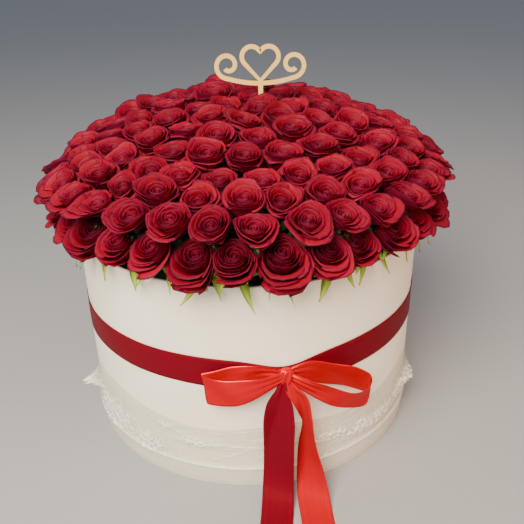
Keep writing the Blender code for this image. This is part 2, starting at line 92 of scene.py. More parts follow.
LOBE_UP = 0.005
LOBE_RADIUS = 0.0122

# count, radius and height of the head centres, tilt from upright, head radius, azimuth of the
# first rose, radius at which the stems enter the foam
ROSE_ROWS = (
    (34, 0.2455, 0.3210, 52.0, 0.0290, -3.0, 0.193),
    (32, 0.2350, 0.3560, 36.0, 0.0300, 2.5, 0.170),
    (28, 0.2065, 0.3745, 21.0, 0.0305, -2.0, 0.150),
    (24, 0.1710, 0.3870, 14.0, 0.0300, 5.0, 0.125),
    (19, 0.1350, 0.3980, 10.0, 0.0300, 0.0, 0.098),
    (13, 0.0980, 0.4070, 7.0, 0.0310, 8.0, 0.071),
    (8, 0.0600, 0.4140, 5.0, 0.0310, 0.0, 0.044),
    (3, 0.0230, 0.4180, 3.0, 0.0300, 40.0, 0.018),
)
# The inner rows stand higher at the back by this share of the way from the middle
DOME_LEAN = 0.07
# How much more upright the open heads stand than the solids' round ones
UPRIGHT = 0.6
# How much the heads of the inner rows turn to the front
FACING_FRONT = 0.2
# How far the open heads of the lowest row stand above the solids' centres
EDGE_LIFT = 0.0045
# The same for the rows near the middle, and by share of the way back for the inner rows
CROWN_LIFT = 0.004
BACK_LIFT = 0.04
# Shares by which the lowest heads at both sides are tucked in and smaller, and the share by which
# those of the second row at the right are tucked in
SIDE_PULL = 0.06
SIDE_SHRINK = 0.04
RIGHT_PULL = 0.015
# How far the lowest heads at both sides stand above the others of their row
SIDE_LIFT = 0.002


# Node and colour helpers

def linear(code):
    """An sRGB hex colour as linear red, green, blue and alpha."""
    made = []
    for start in (1, 3, 5):
        value = int(code[start:start + 2], 16) / 255.0
        made.append(value / 12.92 if value <= 0.04045 else ((value + 0.055) / 1.055) ** 2.4)
    return (*made, 1.0)


def node(tree, kind, inputs=None, **settings):
    """A node with its settings, and each input set to a value or linked to a socket."""
    made = tree.nodes.new(kind)
    for name, value in settings.items():
        setattr(made, name, value)
    for socket, value in (inputs or {}).items():
        if isinstance(value, bpy.types.NodeSocket):
            tree.links.new(value, made.inputs[socket])
        else:
            made.inputs[socket].default_value = value
    return made


def ramp(tree, factor, stops):
    """A colour ramp over a factor, from positions and hex colours."""
    made = node(tree, "ShaderNodeValToRGB", {"Fac": factor})
    elements = made.color_ramp.elements
    while len(elements) < len(stops):
        elements.new(0.5)
    for element, (position, code) in zip(elements, stops):
        element.position = position
        element.color = linear(code)
    return made.outputs["Color"]


def blank_material(name, **values):
    """A material whose Principled shader has its even values set on its own sockets."""
    made = bpy.data.materials.new(name)
    made.use_nodes = True
    shader = made.node_tree.nodes["Principled BSDF"]
    for socket, value in values.items():
        shader.inputs[socket.replace("_", " ")].default_value = value
    return made, made.node_tree, shader


def coloured(tree, shader, colour):
    tree.links.new(colour, shader.inputs["Base Color"])


def bumped(tree, shader, height, distance, strength):
    raised = node(tree, "ShaderNodeBump", {"Height": height, "Distance": distance, "Strength": strength})
    tree.links.new(raised.outputs["Normal"], shader.inputs["Normal"])


def object_point(tree, stretch=(1, 1, 1)):
    """Object coordinates in metres, scaled on each axis."""
    place = node(tree, "ShaderNodeTexCoord").outputs["Object"]
    return node(tree, "ShaderNodeMapping", {"Vector": place, "Scale": stretch}).outputs["Vector"]


def speckle(tree, scale, detail=2.0, stretch=(1, 1, 1), rough=0.5):
    """Noise over the object's own coordinates, with its scale in cells per metre."""
    return node(tree, "ShaderNodeTexNoise", {
        "Vector": object_point(tree, stretch), "Scale": scale, "Detail": detail, "Roughness": rough,
    }).outputs["Fac"]


def carried(tree, name):
    """A value that the mesh carries at its points."""
    return node(tree, "ShaderNodeAttribute", attribute_name=name).outputs["Fac"]


def mapped(tree, value, low, high, start=0.0, end=1.0):
    """A value brought from between start and end to between low and high."""
    return node(tree, "ShaderNodeMapRange", {
        "Value": value, "From Min": start, "From Max": end, "To Min": low, "To Max": high,
    }).outputs["Result"]


def mixed(tree, share, colour, code):
    given = {"Fac": share, "Color1": colour, "Color2": linear(code)}
    return node(tree, "ShaderNodeMixRGB", given).outputs["Color"]


def shaded(tree, colour, level):
    return node(tree, "ShaderNodeHueSaturation", {"Color": colour, "Value": level}).outputs["Color"]


# Materials, each named for what the real one is

def rose_petal_finish():
    """Fresh red rose petal: velvety, brightest halfway up its inner face, with painted shade at the foot
    and deep in the heart, darker along the rim, partly its own dusky tone and partly painted shade, and
    duller on the outer side."""
    made, tree, shader = blank_material(
        "fresh_rose_petal", Roughness=0.58, Specular_IOR_Level=0.12, Sheen_Weight=0.08,
        Sheen_Roughness=0.5, Sheen_Tint=linear("#A02A50"), Subsurface_Weight=0.18,
        Subsurface_Scale=0.004, Subsurface_Radius=(1.0, 0.12, 0.10),
    )
    # Along the petal: painted shade at the foot, down in the head, and a darker rim, partly its dusky tone
    # and partly painted shade
    face = ramp(tree, carried(tree, "petal_length"), (
        (0.0, "#4A0618"), (0.3, "#86081E"), (0.6, "#8C0820"),
        (0.84, "#7A0824"), (0.94, "#5E0A26"), (1.0, "#440A24"),
    ))
    outer = mixed(tree, mapped(tree, carried(tree, "petal_back"), 0.0, 0.72), face, "#4C0C28")
    # Painted shade deep in the heart of the head
    body = mixed(tree, mapped(tree, carried(tree, "heart"), 0.0, 0.25, 0.35, 0.95), outer, "#640A26")
    given = {0: speckle(tree, 160.0, 3.0), 1: carried(tree, "tint")}
    tone = node(tree, "ShaderNodeMath", given, operation="ADD").outputs[0]
    coloured(tree, shader, shaded(tree, body, mapped(tree, tone, 0.72, 1.28, 0.3, 1.7)))
    # Fine veins and cells of the skin, about a millimetre apart
    bumped(tree, shader, speckle(tree, 900.0), 0.0002, 0.35)
    return made


def sepal_finish():
    """Green sepal and stem: slightly waxy, with painted shade at the root under the head, which also
    darkens the calyx and the stems, yellow-green further out, and brown at the very tip."""
    made, tree, shader = blank_material(
        "green_sepal", Roughness=0.42, Subsurface_Weight=0.08, Subsurface_Scale=0.003)
    # Painted shade at the root, under the head; the calyx and the stems, which carry no length, take it
    # whole
    body = ramp(tree, carried(tree, "petal_length"), (
        (0.0, "#16240E"), (0.2, "#4E7A2A"), (0.55, "#86AE26"), (0.9, "#A8C63C"), (1.0, "#8A7A3A"),
    ))
    mottle = speckle(tree, 220.0)
    coloured(tree, shader, shaded(tree, body, mapped(tree, mottle, 0.8, 1.15)))
    bumped(tree, shader, mottle, 0.0003, 0.3)
    return made


def card_finish(name, code, soft):
    """White coated card: an even matt sheet with a faint tone and a fine fibre under the coat."""
    made, tree, shader = blank_material(name, Roughness=0.42, Specular_IOR_Level=0.45)
    coloured(tree, shader, ramp(tree, speckle(tree, 9.0, 4.0), ((0.3, code), (0.7, soft))))
    bumped(tree, shader, speckle(tree, 700.0, 3.0, (1, 1, 0.4)), 0.00012, 0.25)
    return made


def satin_finish(name, stops, shine, rough, metallic=0.0):
    """Polyester satin ribbon: long floats along the ribbon draw its highlight out along it, with fine
    threads half a millimetre apart."""
    made, tree, shader = blank_material(
        name, Roughness=rough, IOR=1.38, Anisotropic=0.6, Specular_IOR_Level=shine,
        Specular_Tint=linear("#FF5A38"), Metallic=metallic)
    tangent = node(tree, "ShaderNodeTangent", direction_type="UV_MAP", uv_map="ribbon")
    tree.links.new(tangent.outputs["Tangent"], shader.inputs["Tangent"])
    weave = node(tree, "ShaderNodeUVMap", uv_map="ribbon").outputs["UV"]
    streak = node(tree, "ShaderNodeMapping", {"Vector": weave, "Scale": (1900.0, 9.0, 1.0)})
    given = {"Vector": streak.outputs["Vector"], "Scale": 1.0, "Detail": 2.0}
    thread = node(tree, "ShaderNodeTexNoise", given).outputs["Fac"]
    coloured(tree, shader, ramp(tree, thread, list(zip((0.25, 0.55, 0.8), stops))))
    bumped(tree, shader, thread, 0.00004, 0.25)
    return made


def film_finish():
    """Clear polypropylene film: nearly unseen where it is flat, with a faint grey there that is painted
    shade, and white and more opaque along its creases, a painted highlight.
    """
    made, tree, shader = blank_material(
        "clear_polypropylene_film", Roughness=0.16, IOR=1.49, Coat_Weight=0.8, Coat_Roughness=0.06)
    crease = carried(tree, "crease")
    # Grey where the film is flat, a painted shade; white where it is creased, a painted highlight
    coloured(tree, shader, ramp(tree, crease, (
        (0.0, "#BFC0B4"), (0.3, "#DEDDCE"), (0.55, "#FDFBEC"), (1.0, "#FFFFFF"),
    )))
    tree.links.new(mapped(tree, crease, 0.20, 1.0), shader.inputs["Alpha"])
    bumped(tree, shader, speckle(tree, 90.0, 5.0, (1, 1, 1.8), 0.6), 0.003, 0.75)
    return made


def patterned(name, pattern, stops, relief=None, **values):
    """A material coloured by a pattern, with the pattern's relief as a distance and a strength."""
    made, tree, shader = blank_material(name, **values)
    tone = pattern(tree)
    coloured(tree, shader, ramp(tree, tone, stops))
    if relief:
        bumped(tree, shader, tone, *relief)
    return made


def plywood_finish():
    """Birch plywood face: pale warm wood with fine grain along the sheet."""
    return patterned(
        "birch_plywood", lambda tree: speckle(tree, 1.0, 4.0, (60.0, 60.0, 900.0)),
        ((0.3, "#DDB562"), (0.6, "#E8C678"), (0.8, "#EED08A")), (0.0001, 0.3),
        Roughness=0.55, Specular_IOR_Level=0.35)


def burnt_edge_finish():
    """Laser-cut plywood edge: browned by the beam, with the plies showing as faint lines."""
    def plies(tree):
        given = {"Vector": object_point(tree), "Scale": 300.0, "Distortion": 1.0}
        return node(tree, "ShaderNodeTexWave", given, bands_direction="Y").outputs["Fac"]

    return patterned(
        "laser_cut_edge", plies, ((0.2, "#8A6233"), (0.8, "#C79A5A")),
        Roughness=0.7, Specular_IOR_Level=0.2)


def foam_finish():
    """Flower foam: matt dark green open cells half a millimetre across."""
    def cells(tree):
        given = {"Vector": object_point(tree), "Scale": 1400.0}
        return node(tree, "ShaderNodeTexVoronoi", given).outputs["Distance"]

    return patterned(
        "phenolic_flower_foam", cells, ((0.1, "#15301A"), (0.7, "#2F5A33")), (0.0004, 0.6),
        Roughness=0.95, Specular_IOR_Level=0.1)


def floor_finish():
    """Smooth grey paper under the object: an even matt ground with hardly any grain."""
    return patterned(
        "pale_floor", lambda tree: speckle(tree, 300.0), ((0.3, "#9B9DA1"), (0.7, "#A0A2A6")),
        Roughness=0.7)


# Mesh helpers

def outward(azimuth):
    turn = math.radians(azimuth)
    return Vector((math.sin(turn), -math.cos(turn), 0.0))


def along_wall(azimuth):
    turn = math.radians(azimuth)
    return Vector((math.cos(turn), math.sin(turn), 0.0))


def at(azimuth, radius, height):
    return outward(azimuth) * radius + Vector((0, 0, height))


def sine(degrees):
    return math.sin(math.radians(degrees))


def bump(value, centre, width):
    """A smooth hill of height 1, for one value or an array of them."""
    return np.exp(-(((value - centre) / width) ** 2))


def turn_from(azimuth, centre):
    """The way from a centre to an azimuth, from -180 to 180 degrees."""
    return (azimuth - centre + 180.0) % 360.0 - 180.0


def bezier(path, t):
    """Each coordinate of the curve from the first to the last of four places."""
    w = 1.0 - t
    return [w**3 * a + 3 * w**2 * t * b + 3 * w * t**2 * c + t**3 * d for a, b, c, d in zip(*path)]


def placed(name, data):
    obj = bpy.data.objects.new(name, data)
    bpy.context.scene.collection.objects.link(obj)
    return obj


def finished(mesh, name, material, replaced=()):
    """Puts a mesh in the scene as a piece that rides on the root and stands for its nodes."""
    obj = placed(name, mesh)
    mesh.name = name
    if material and not mesh.materials:
        mesh.materials.append(material)
    if replaced:
        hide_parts(*replaced)
    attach(obj, "root")
    return obj


def mesh_of(name, points, faces=(), edges=(), outwards=False):
    mesh = bpy.data.meshes.new(name)
    mesh.from_pydata([tuple(point) for point in points], edges, faces)
    if outwards:
        work = bmesh.new()
        work.from_mesh(mesh)
        bmesh.ops.recalc_face_normals(work, faces=work.faces)
        work.to_mesh(mesh)
        work.free()
    mesh.shade_smooth()
    return mesh


def grid_faces(rows, columns, wrap=False):
    faces = []
    for row in range(rows - 1):
        for column in range(columns if wrap else columns - 1):
            after = (column + 1) % columns
            faces.append((row * columns + column, row * columns + after,
                          (row + 1) * columns + after, (row + 1) * columns + column))
    return faces


def ring_faces(rings, across):
    """Faces of a sheet that closes in a ring, from lines of points across it."""
    faces = []
    for ring in range(rings):
        low, high = ring * across, (ring + 1) % rings * across
        faces += [(low + i, high + i, high + i + 1, low + i + 1) for i in range(across - 1)]
    return faces


def bar_faces(low, count, closed=False):
    """Faces of a bar from squares of four points, the first of them at an index."""
    faces = []
    for square in range(count if closed else count - 1):
        first = low + 4 * square
        second = low + 4 * ((square + 1) % count)
        for corner in range(4):
            after = (corner + 1) % 4
            faces.append((first + corner, first + after, second + after, second + corner))
    if not closed:
        last = low + 4 * (count - 1)
        faces += [(low, low + 1, low + 2, low + 3), (last + 3, last + 2, last + 1, last)]
    return faces


def baked(obj):
    """The mesh that an object's modifiers make, with its attributes."""
    bpy.context.view_layer.update()
    graph = bpy.context.evaluated_depsgraph_get()
    return bpy.data.meshes.new_from_object(
        obj.evaluated_get(graph), preserve_all_data_layers=True, depsgraph=graph)


def put_attribute(mesh, name, values):
    layer = mesh.attributes.new(name, "FLOAT", "POINT")
    layer.data.foreach_set("value", np.asarray(values, np.float32))


def put_ribbon_uv(mesh, columns, lengths):
    """Metres across and along the ribbon, from the length at each row of points. The lengths of a
    ring have one more, for where it closes."""
    layer = mesh.uv_layers.new(name="ribbon")
    rows = len(mesh.vertices) // columns
    for polygon in mesh.polygons:
        closing = polygon.index // (columns - 1) == rows - 1
        for loop in polygon.loop_indices:
            row, column = divmod(mesh.loops[loop].vertex_index, columns)
            along = lengths[rows if closing and row == 0 else row]
            layer.data[loop].uv = (column / (columns - 1) * RIBBON_WIDTH, along)


def run_nodes(mesh, tree, values):
    """The mesh that a node group makes from a mesh and its named inputs."""
    holder = placed(mesh.name, mesh)
    modifier = holder.modifiers.new("nodes", "NODES")
    modifier.node_group = tree
    for item in tree.interface.items_tree:
        if item.in_out == "INPUT" and item.name in values:
            modifier[item.identifier] = values[item.name]
    made = baked(holder)
    bpy.data.objects.remove(holder)
    made.shade_smooth()
    return made


def group_tree(name, output, inputs):
    """A geometry node group with its named inputs and its output, and what its input node gives."""
    tree = bpy.data.node_groups.new(name, "GeometryNodeTree")
    for label, kind in inputs.items():
        tree.interface.new_socket(name=label, in_out="INPUT", socket_type="NodeSocket" + kind)
    tree.interface.new_socket(name=output, in_out="OUTPUT", socket_type="NodeSocketGeometry")
    return tree, node(tree, "NodeGroupInput").outputs


def end_group(tree, geometry, finish, output):
    """Real geometry with its material, as the group's output."""
    real = node(tree, "GeometryNodeRealizeInstances", {"Geometry": geometry})
    given = {"Geometry": real.outputs["Geometry"], "Material": finish}
    coated = node(tree, "GeometryNodeSetMaterial", given)
    node(tree, "NodeGroupOutput", {output: coated.outputs["Geometry"]})
    return tree


def shelf_of(name, shapes):
    """A collection of shapes, to be picked by their place in it."""
    shelf = bpy.data.collections.new(name)
    for place, mesh in enumerate(shapes):
        shelf.objects.link(bpy.data.objects.new(f"{name}_{place:02d}", mesh))
    return shelf


def clear_shelf(shelf):
    for obj in list(shelf.objects):
        bpy.data.objects.remove(obj)
    bpy.data.collections.remove(shelf)


# Card box and lid

def turned(name, rows, corner, sides=240):
    """A closed shell from rows that are each a height on the axis, a radius and a height, or a
    function that gives both for an azimuth, with its edges sharp from a corner's angle."""
    points = []
    loops = []
    for row in rows:
        if isinstance(row, float):
            loops.append([len(points)])
            points.append(Vector((0, 0, row)))
            continue
        loops.append(list(range(len(points), len(points) + sides)))
        for side in range(sides):
            azimuth = 360.0 * side / sides
            radius, height = row(azimuth) if callable(row) else row
            points.append(at(azimuth, radius, height))
    faces = []
    for first, second in zip(loops, loops[1:]):
        for side in range(sides):
            after = (side + 1) % sides
            if len(first) == 1:
                faces.append((first[0], second[side], second[after]))
            elif len(second) == 1:
                faces.append((first[side], second[0], first[after]))
            else:
                faces.append((first[side], second[side], second[after], first[after]))
    mesh = mesh_of(name, points, faces, outwards=True)
    mesh.set_sharp_from_angle(angle=math.radians(corner))
    return mesh


def wall_wave(azimuth, height):
    """Very low waves of the card, a little stronger under the rim where hands have pressed it."""
    under_rim = bump(height, WALL_TOP - 0.022, 0.016)
    slow = 0.00016 * sine(5 * azimuth + 40) * math.sin(height * 23.0)
    pinch = 0.00045 * under_rim * sine(17 * azimuth) * sine(3 * azimuth + 70)
    return slow + pinch


def box_body(finish):
    """The tube with its floor; its wall takes the card's low waves and its edge is rounded."""
    def outer(height):
        return lambda azimuth: (WALL_RADIUS + wall_wave(azimuth, height), height)

    inner = WALL_RADIUS - WALL_CARD
    edge = 0.0006
    heights = [WALL_FOOT + edge] + [0.03 + 0.0122 * step for step in range(20)]
    heights += [WALL_TOP - 0.004, WALL_TOP - edge]
    rows = [WALL_FOOT, (WALL_RADIUS - edge, WALL_FOOT)] + [outer(height) for height in heights]
    rows += [
        (WALL_RADIUS - 0.3 * edge, WALL_TOP - 0.3 * edge),
        (WALL_RADIUS - edge, WALL_TOP),
        (inner + edge, WALL_TOP),
        (inner, WALL_TOP - edge),
        (inner, WALL_FOOT + WALL_CARD),
        WALL_FOOT + WALL_CARD,
    ]
    mesh = turned("card_box_body", rows, 40)
    return finished(mesh, "card_box_body", finish, ["box_body"])


def box_lid(finish):
    """The upturned lid: a floor and a low rim whose paper is turned in over its upper edge."""
    inner = WALL_RADIUS + GAP
    outer = inner + LID_CARD
    edge = 0.0008

    def waved(radius, height, aside, above):
        """A ring that takes shares of the card's low wave in its radius and its height."""
        def ring(azimuth):
            wave = 0.0003 * sine(11 * azimuth) + 0.0002 * sine(29 * azimuth + 30)
            return radius + aside * wave, height + above * wave
        return ring

    rows = [
        0.0,
        (outer - edge, 0.0),
        (outer - 0.3 * edge, 0.3 * edge),
        (outer, edge),
        waved(outer, 0.4 * LID_RIM_HEIGHT, 0.3, 0.0),
        waved(outer, 0.8 * LID_RIM_HEIGHT, 0.5, 0.0),
        waved(outer, LID_RIM_HEIGHT - 0.0016, 0.0, 1.0),
        waved(outer + 0.00035, LID_RIM_HEIGHT - 0.0008, 0.0, 1.0),
        waved(outer - 0.3 * edge, LID_RIM_HEIGHT, 0.0, 1.0),
        waved(inner + 0.4 * edge, LID_RIM_HEIGHT, 0.0, 1.0),
        waved(inner, LID_RIM_HEIGHT - edge, 0.0, 1.0),
        (inner, LID_CARD),
        LID_CARD,
    ]
    mesh = turned("card_box_lid", rows, 50)
    return finished(mesh, "card_box_lid", finish, ["box_lid"])


# Roses

class Rose:
    """Where one rose stands, by the same rule and draws as its solid."""

    def __init__(self, azimuth, radius, height, tilt, head_radius, foam_radius, draw):
        self.azimuth = azimuth + draw.uniform(-1.0, 1.0) * (radius > 0.08)
        radius += draw.uniform(-0.0015, 0.0015) * (radius > 0)
        out = outward(self.azimuth)
        height += DOME_LEAN * out.y * radius * (1.0 - (radius / ROSE_ROWS[0][1]) ** 2)
        self.centre = out * radius + Vector((0, 0, height + draw.uniform(-0.0015, 0.0015)))
        lean = math.radians(tilt + draw.uniform(-4, 4))
        swing = draw.uniform(-0.07, 0.07)
        right = along_wall(self.azimuth)
        upright = Vector((0, 0, math.cos(lean)))
        self.face(out * math.sin(lean) + right * swing + upright)
        self.size = head_radius * draw.uniform(0.97, 1.05)
        self.spin = draw.uniform(-9, 9)
        # The solid draws here which way its petals are swept
        draw.random()
        self.entry = out * foam_radius
        self.entry.z = FOAM_EDGE_HEIGHT + FOAM_CROWN * (1.0 - (foam_radius / FOAM_RADIUS) ** 2)
        self.group = None

    def face(self, axis):
        self.axis = axis.normalized()
        right = along_wall(self.azimuth)
        self.east = (right - self.axis * self.axis.dot(right)).normalized()
        self.north = self.axis.cross(self.east)
        self.neck = self.centre - self.axis * HEAD_DEPTH

    def loosen(self, draw):
        """Small turns and sizes of its own, so that no two roses sit alike."""
        nudge = Vector((draw.gauss(0, 0.10), draw.gauss(0, 0.10), draw.gauss(0, 0.05)))
        nudge.z += UPRIGHT * self.axis.to_2d().length
        row = self.group[0]
        if row > 1:
            nudge.y -= FACING_FRONT
        self.face(self.axis + nudge)
        self.size *= draw.uniform(0.90, 1.12)
        self.centre += self.east * draw.uniform(-0.003, 0.003) + self.north * draw.uniform(-0.002, 0.002)
        self.centre += self.axis * draw.uniform(-0.003, 0.003)
        if row == 0:
            aside = (self.centre.x / ROSE_ROWS[0][1]) ** 2
            self.centre.z += EDGE_LIFT
            self.centre.z += SIDE_LIFT * aside
            self.centre.x *= 1.0 - SIDE_PULL * aside
            self.size *= 1.0 - SIDE_SHRINK * aside
        elif row == 1:
            self.centre.x *= 1.0 - RIGHT_PULL * (self.centre.x > 0)
        else:
            self.centre.z += CROWN_LIFT * (row > 3) + BACK_LIFT * max(self.centre.y, 0.0)


def place_roses():
    """Every rose where its solid stands, and then loosened."""
    draw = random.Random(11)
    roses = []
    for row, (count, radius, height, tilt, head_radius, start, foam_radius) in enumerate(ROSE_ROWS):
        for place in range(count):
            azimuth = start + 360.0 * place / count
            rose = Rose(azimuth, radius, height, tilt, head_radius, foam_radius, draw)
            rose.group = (row, place // ROSES_PER_NODE)
            roses.append(rose)
    own = random.Random(3)
    for rose in roses:
        rose.loosen(own)
    return roses


# petals, rim radius and height as shares of the head radius, half angle, outward roll, side drop
PETAL_LAYERS = (
    (2, 0.05, -0.02, 140.0, 0.00, 0.02),
    (3, 0.15, 0.00, 100.0, 0.00, 0.05),
    (4, 0.26, 0.06, 82.0, 0.00, 0.07),
    (4, 0.39, 0.13, 78.0, 0.02, 0.09),
    (4, 0.57, 0.22, 74.0, 0.06, 0.11),
    (5, 0.78, 0.22, 62.0, 0.06, 0.13),
    (5, 0.97, 0.12, 56.0, 0.08, 0.15),
    (5, 0.93, -0.14, 52.0, 0.04, 0.20),
)
# Points across and up a petal of each layer
PETAL_GRIDS = ((6, 5), (6, 5), (7, 6), (7, 6), (8, 6), (9, 6), (9, 6), (6, 5))
# What a fully open head adds to rim radius, height and roll of the layers from the bud outwards
OPENING = (
    (0.0, -0.10, 0.0), (-0.03, -0.10, 0.0), (-0.07, -0.12, 0.0), (-0.11, -0.12, 0.0),
    (-0.14, -0.10, 0.02), (0.0, 0.0, 0.10), (0.10, -0.06, 0.16), (0.20, -0.08, 0.16),
)
PETAL_THICKNESS = 0.013
# Head shapes. The first ones are cupped and the others open. The lowest row takes only cupped
# ones, the second row any, and the rows above only open ones.
HEAD_SHAPES = 11
CUPPED_HEADS = 5
# How much larger the heads of the two lowest rows are drawn, and the sepals at every head
LOW_ROWS_GROWTH = 1.07
SEPALS_GROWTH = 0.95
# A neighbour squeezes a head from this share of the way to the plane between them, and petals
# reach past that plane by this much
SQUEEZE_FROM = 0.55
PETAL_OVERLAP = 0.0012
# A head's widest reach in head radii
HEAD_REACH = 1.15


def petal_points(draw, rim, rise, half, roll, drop, turn, hand, spread, across, up):
    """A petal as a grid of points, from its foot at the calyx to its rolled rim."""
    u = np.linspace(-1.0, 1.0, across)[:, None]
    u = 0.6 * u + 0.4 * np.sin(0.5 * math.pi * u)
    v = 1.0 - (1.0 - np.linspace(0.0, 1.0, up)[None, :]) ** 1.5
    radius, height = bezier((
        (0.06 + 0.12 * rim, -0.80),
        (0.26 + (0.52 - 0.16 * spread) * rim, -0.66 + 0.20 * rise),
        (rim * (0.96 - (0.13 + 0.12 * spread) * rim), rise - 0.34 + (0.10 + 0.06 * spread) * rim),
        (rim, rise),
    ), v)
    lip = np.clip((v - 0.66) / 0.34, 0.0, 1.0) ** 2
    shift = draw.uniform(-0.25, 0.25)
    corner = np.clip(1.0 - np.abs(u - shift), 0.0, 1.0) ** 1.3 * draw.uniform(0.3, 1.0)
    ruffle = np.sin(u * draw.uniform(3.0, 7.0) + draw.uniform(0, 6.3)) * draw.uniform(0.3, 1.0)
    slant = draw.uniform(-0.07, 0.07) * u * v
    radius = radius + lip * (roll + 0.08 * rim**1.5 * corner + 0.03 * ruffle * rim)
    height = height - lip * roll * (0.8 + 0.5 * corner) + 0.026 * ruffle * lip + slant * (0.3 + rim)
    height = height - drop * np.abs(u) ** 2.6 * v**1.5
    spiral = 0.16 - 0.07 * rim
    radius = radius * (1.0 + spiral * hand * u * v) - 0.06 * rim * np.abs(u) ** 3 * v
    width = math.radians(half) * (0.42 + 0.58 * np.sin(0.5 * math.pi * np.clip(v / 0.62, 0, 1)))
    angle = math.radians(turn) + u * width
    return np.stack([radius * np.cos(angle), radius * np.sin(angle), height], axis=2)


def rose_head(seed):
    """One rose head of unit radius, petal by petal from the bud outwards."""
    draw = random.Random(seed)
    hand = 1.0 if seed % 2 else -1.0
    spread = draw.uniform(0.92, 1.05)
    cup = draw.uniform(-0.10, 0.06)
    aside = (draw.uniform(-0.07, 0.07), draw.uniform(-0.07, 0.07))
    opened = draw.uniform(-0.1, 0.3) if seed < CUPPED_HEADS else draw.uniform(0.6, 1.1)
    points, faces, lengths, backs, hearts = [], [], [], [], []
    turn = draw.uniform(0, 360)
    for layer, (count, rim, rise, half, roll, drop) in enumerate(PETAL_LAYERS):
        across, up = PETAL_GRIDS[layer]
        turn += 38 + draw.uniform(-14, 14)
        wider, lower, rolled = (opened * change for change in OPENING[layer])
        for petal in range(count):
            grid = petal_points(
                draw,
                (rim + wider) * spread * draw.uniform(0.91, 1.08),
                rise + lower + cup * (1 - rim) + draw.uniform(-0.05, 0.05),
                half * draw.uniform(0.85, 1.15),
                (roll + rolled) * draw.uniform(0.3, 1.6),
                drop * draw.uniform(0.5, 1.4),
                turn + 360.0 * petal / count + draw.uniform(-13, 13),
                hand, max(opened, 0.0), across, up,
            )
            inside = 1.0 - min(rim, 1.0)
            for axis in (0, 1):
                grid[:, :, axis] += aside[axis] * inside * (grid[:, :, 2] + 0.8)
            add_petal(points, faces, lengths, grid)
            backs += [0.0] * (across * up) + [1.0] * (across * up)
            hearts += [inside] * (2 * across * up)
    mesh = mesh_of(f"rose_head_{seed:02d}", points, faces, outwards=True)
    put_attribute(mesh, "petal_length", lengths)
    put_attribute(mesh, "petal_back", backs)
    put_attribute(mesh, "heart", hearts)
    return mesh


def add_petal(points, faces, lengths, grid):
    """Adds a petal as a closed thin solid, thinner at its rim."""
    across, up = grid.shape[:2]
    normal = np.cross(np.gradient(grid, axis=0), np.gradient(grid, axis=1))
    normal /= np.maximum(np.linalg.norm(normal, axis=2, keepdims=True), 1e-9)
    taper = np.linspace(1.0, 0.45, up)[None, :, None]
    back = grid + normal * PETAL_THICKNESS * taper
    low = len(points)
    points.extend(grid.reshape(-1, 3).tolist())
    points.extend(back.reshape(-1, 3).tolist())
    share = np.broadcast_to(np.linspace(0, 1, up)[None, :], (across, up)).reshape(-1)
    lengths.extend(share.tolist() * 2)
    other = low + across * up
    for i in range(across - 1):
        for j in range(up - 1):
            a, b, c, d = (i * up + j, (i + 1) * up + j, (i + 1) * up + j + 1, i * up + j + 1)
            faces.append((low + a, low + b, low + c, low + d))
            faces.append((other + d, other + c, other + b, other + a))
    ring = [i * up for i in range(across)] + [(across - 1) * up + j for j in range(1, up)]
    ring += [i * up + up - 1 for i in range(across - 2, -1, -1)] + [j for j in range(up - 2, 0, -1)]
    for first, second in zip(ring, ring[1:] + ring[:1]):
        faces.append((low + second, low + first, other + first, other + second))


def scatter_tree():
    """Places picked heads on points that carry their turn, size, tint and pick."""
    tree, given = group_tree("heads_on_points", "Heads", {
        "Points": "Geometry", "Heads": "Collection", "Head size": "Float", "Finish": "Material"})

    def read(name, kind):
        found = node(tree, "GeometryNodeInputNamedAttribute", {"Name": name}, data_type=kind)
        return found.outputs["Attribute"]

    shelf = {"Collection": given["Heads"], "Separate Children": True, "Reset Children": True}
    heads = node(tree, "GeometryNodeCollectionInfo", shelf)
    sizes = {0: read("size", "FLOAT"), 1: given["Head size"]}
    scale = node(tree, "ShaderNodeMath", sizes, operation="MULTIPLY")
    rotation = node(tree, "FunctionNodeEulerToRotation", {"Euler": read("turn", "FLOAT_VECTOR")})
    standing = node(tree, "GeometryNodeInstanceOnPoints", {
        "Points": given["Points"], "Instance": heads.outputs["Instances"], "Pick Instance": True,
        "Instance Index": read("pick", "INT"), "Rotation": rotation.outputs["Rotation"],
        "Scale": scale.outputs[0],
    })
    return end_group(tree, standing.outputs["Instances"], given["Finish"], "Heads")


def scattered(name, roses, picks, tints, shelf, tree, finish, growth):
    """The picked heads at some roses, as one plain mesh."""
    mesh = mesh_of(name, [rose.centre for rose in roses])
    turns = []
    for rose, pick in zip(roses, picks):
        spin = Matrix.Rotation(math.radians(rose.spin * 20 + 67 * pick), 3, "Z")
        frame_matrix = Matrix((rose.east, rose.north, rose.axis)).transposed()
        turns += list((frame_matrix @ spin).to_euler())
    mesh.attributes.new("turn", "FLOAT_VECTOR", "POINT").data.foreach_set("vector", turns)
    mesh.attributes.new("pick", "INT", "POINT").data.foreach_set("value", picks)
    put_attribute(mesh, "size", [rose.size for rose in roses])
    put_attribute(mesh, "tint", tints)
    return run_nodes(mesh, tree, {"Heads": shelf, "Head size": growth, "Finish": finish})


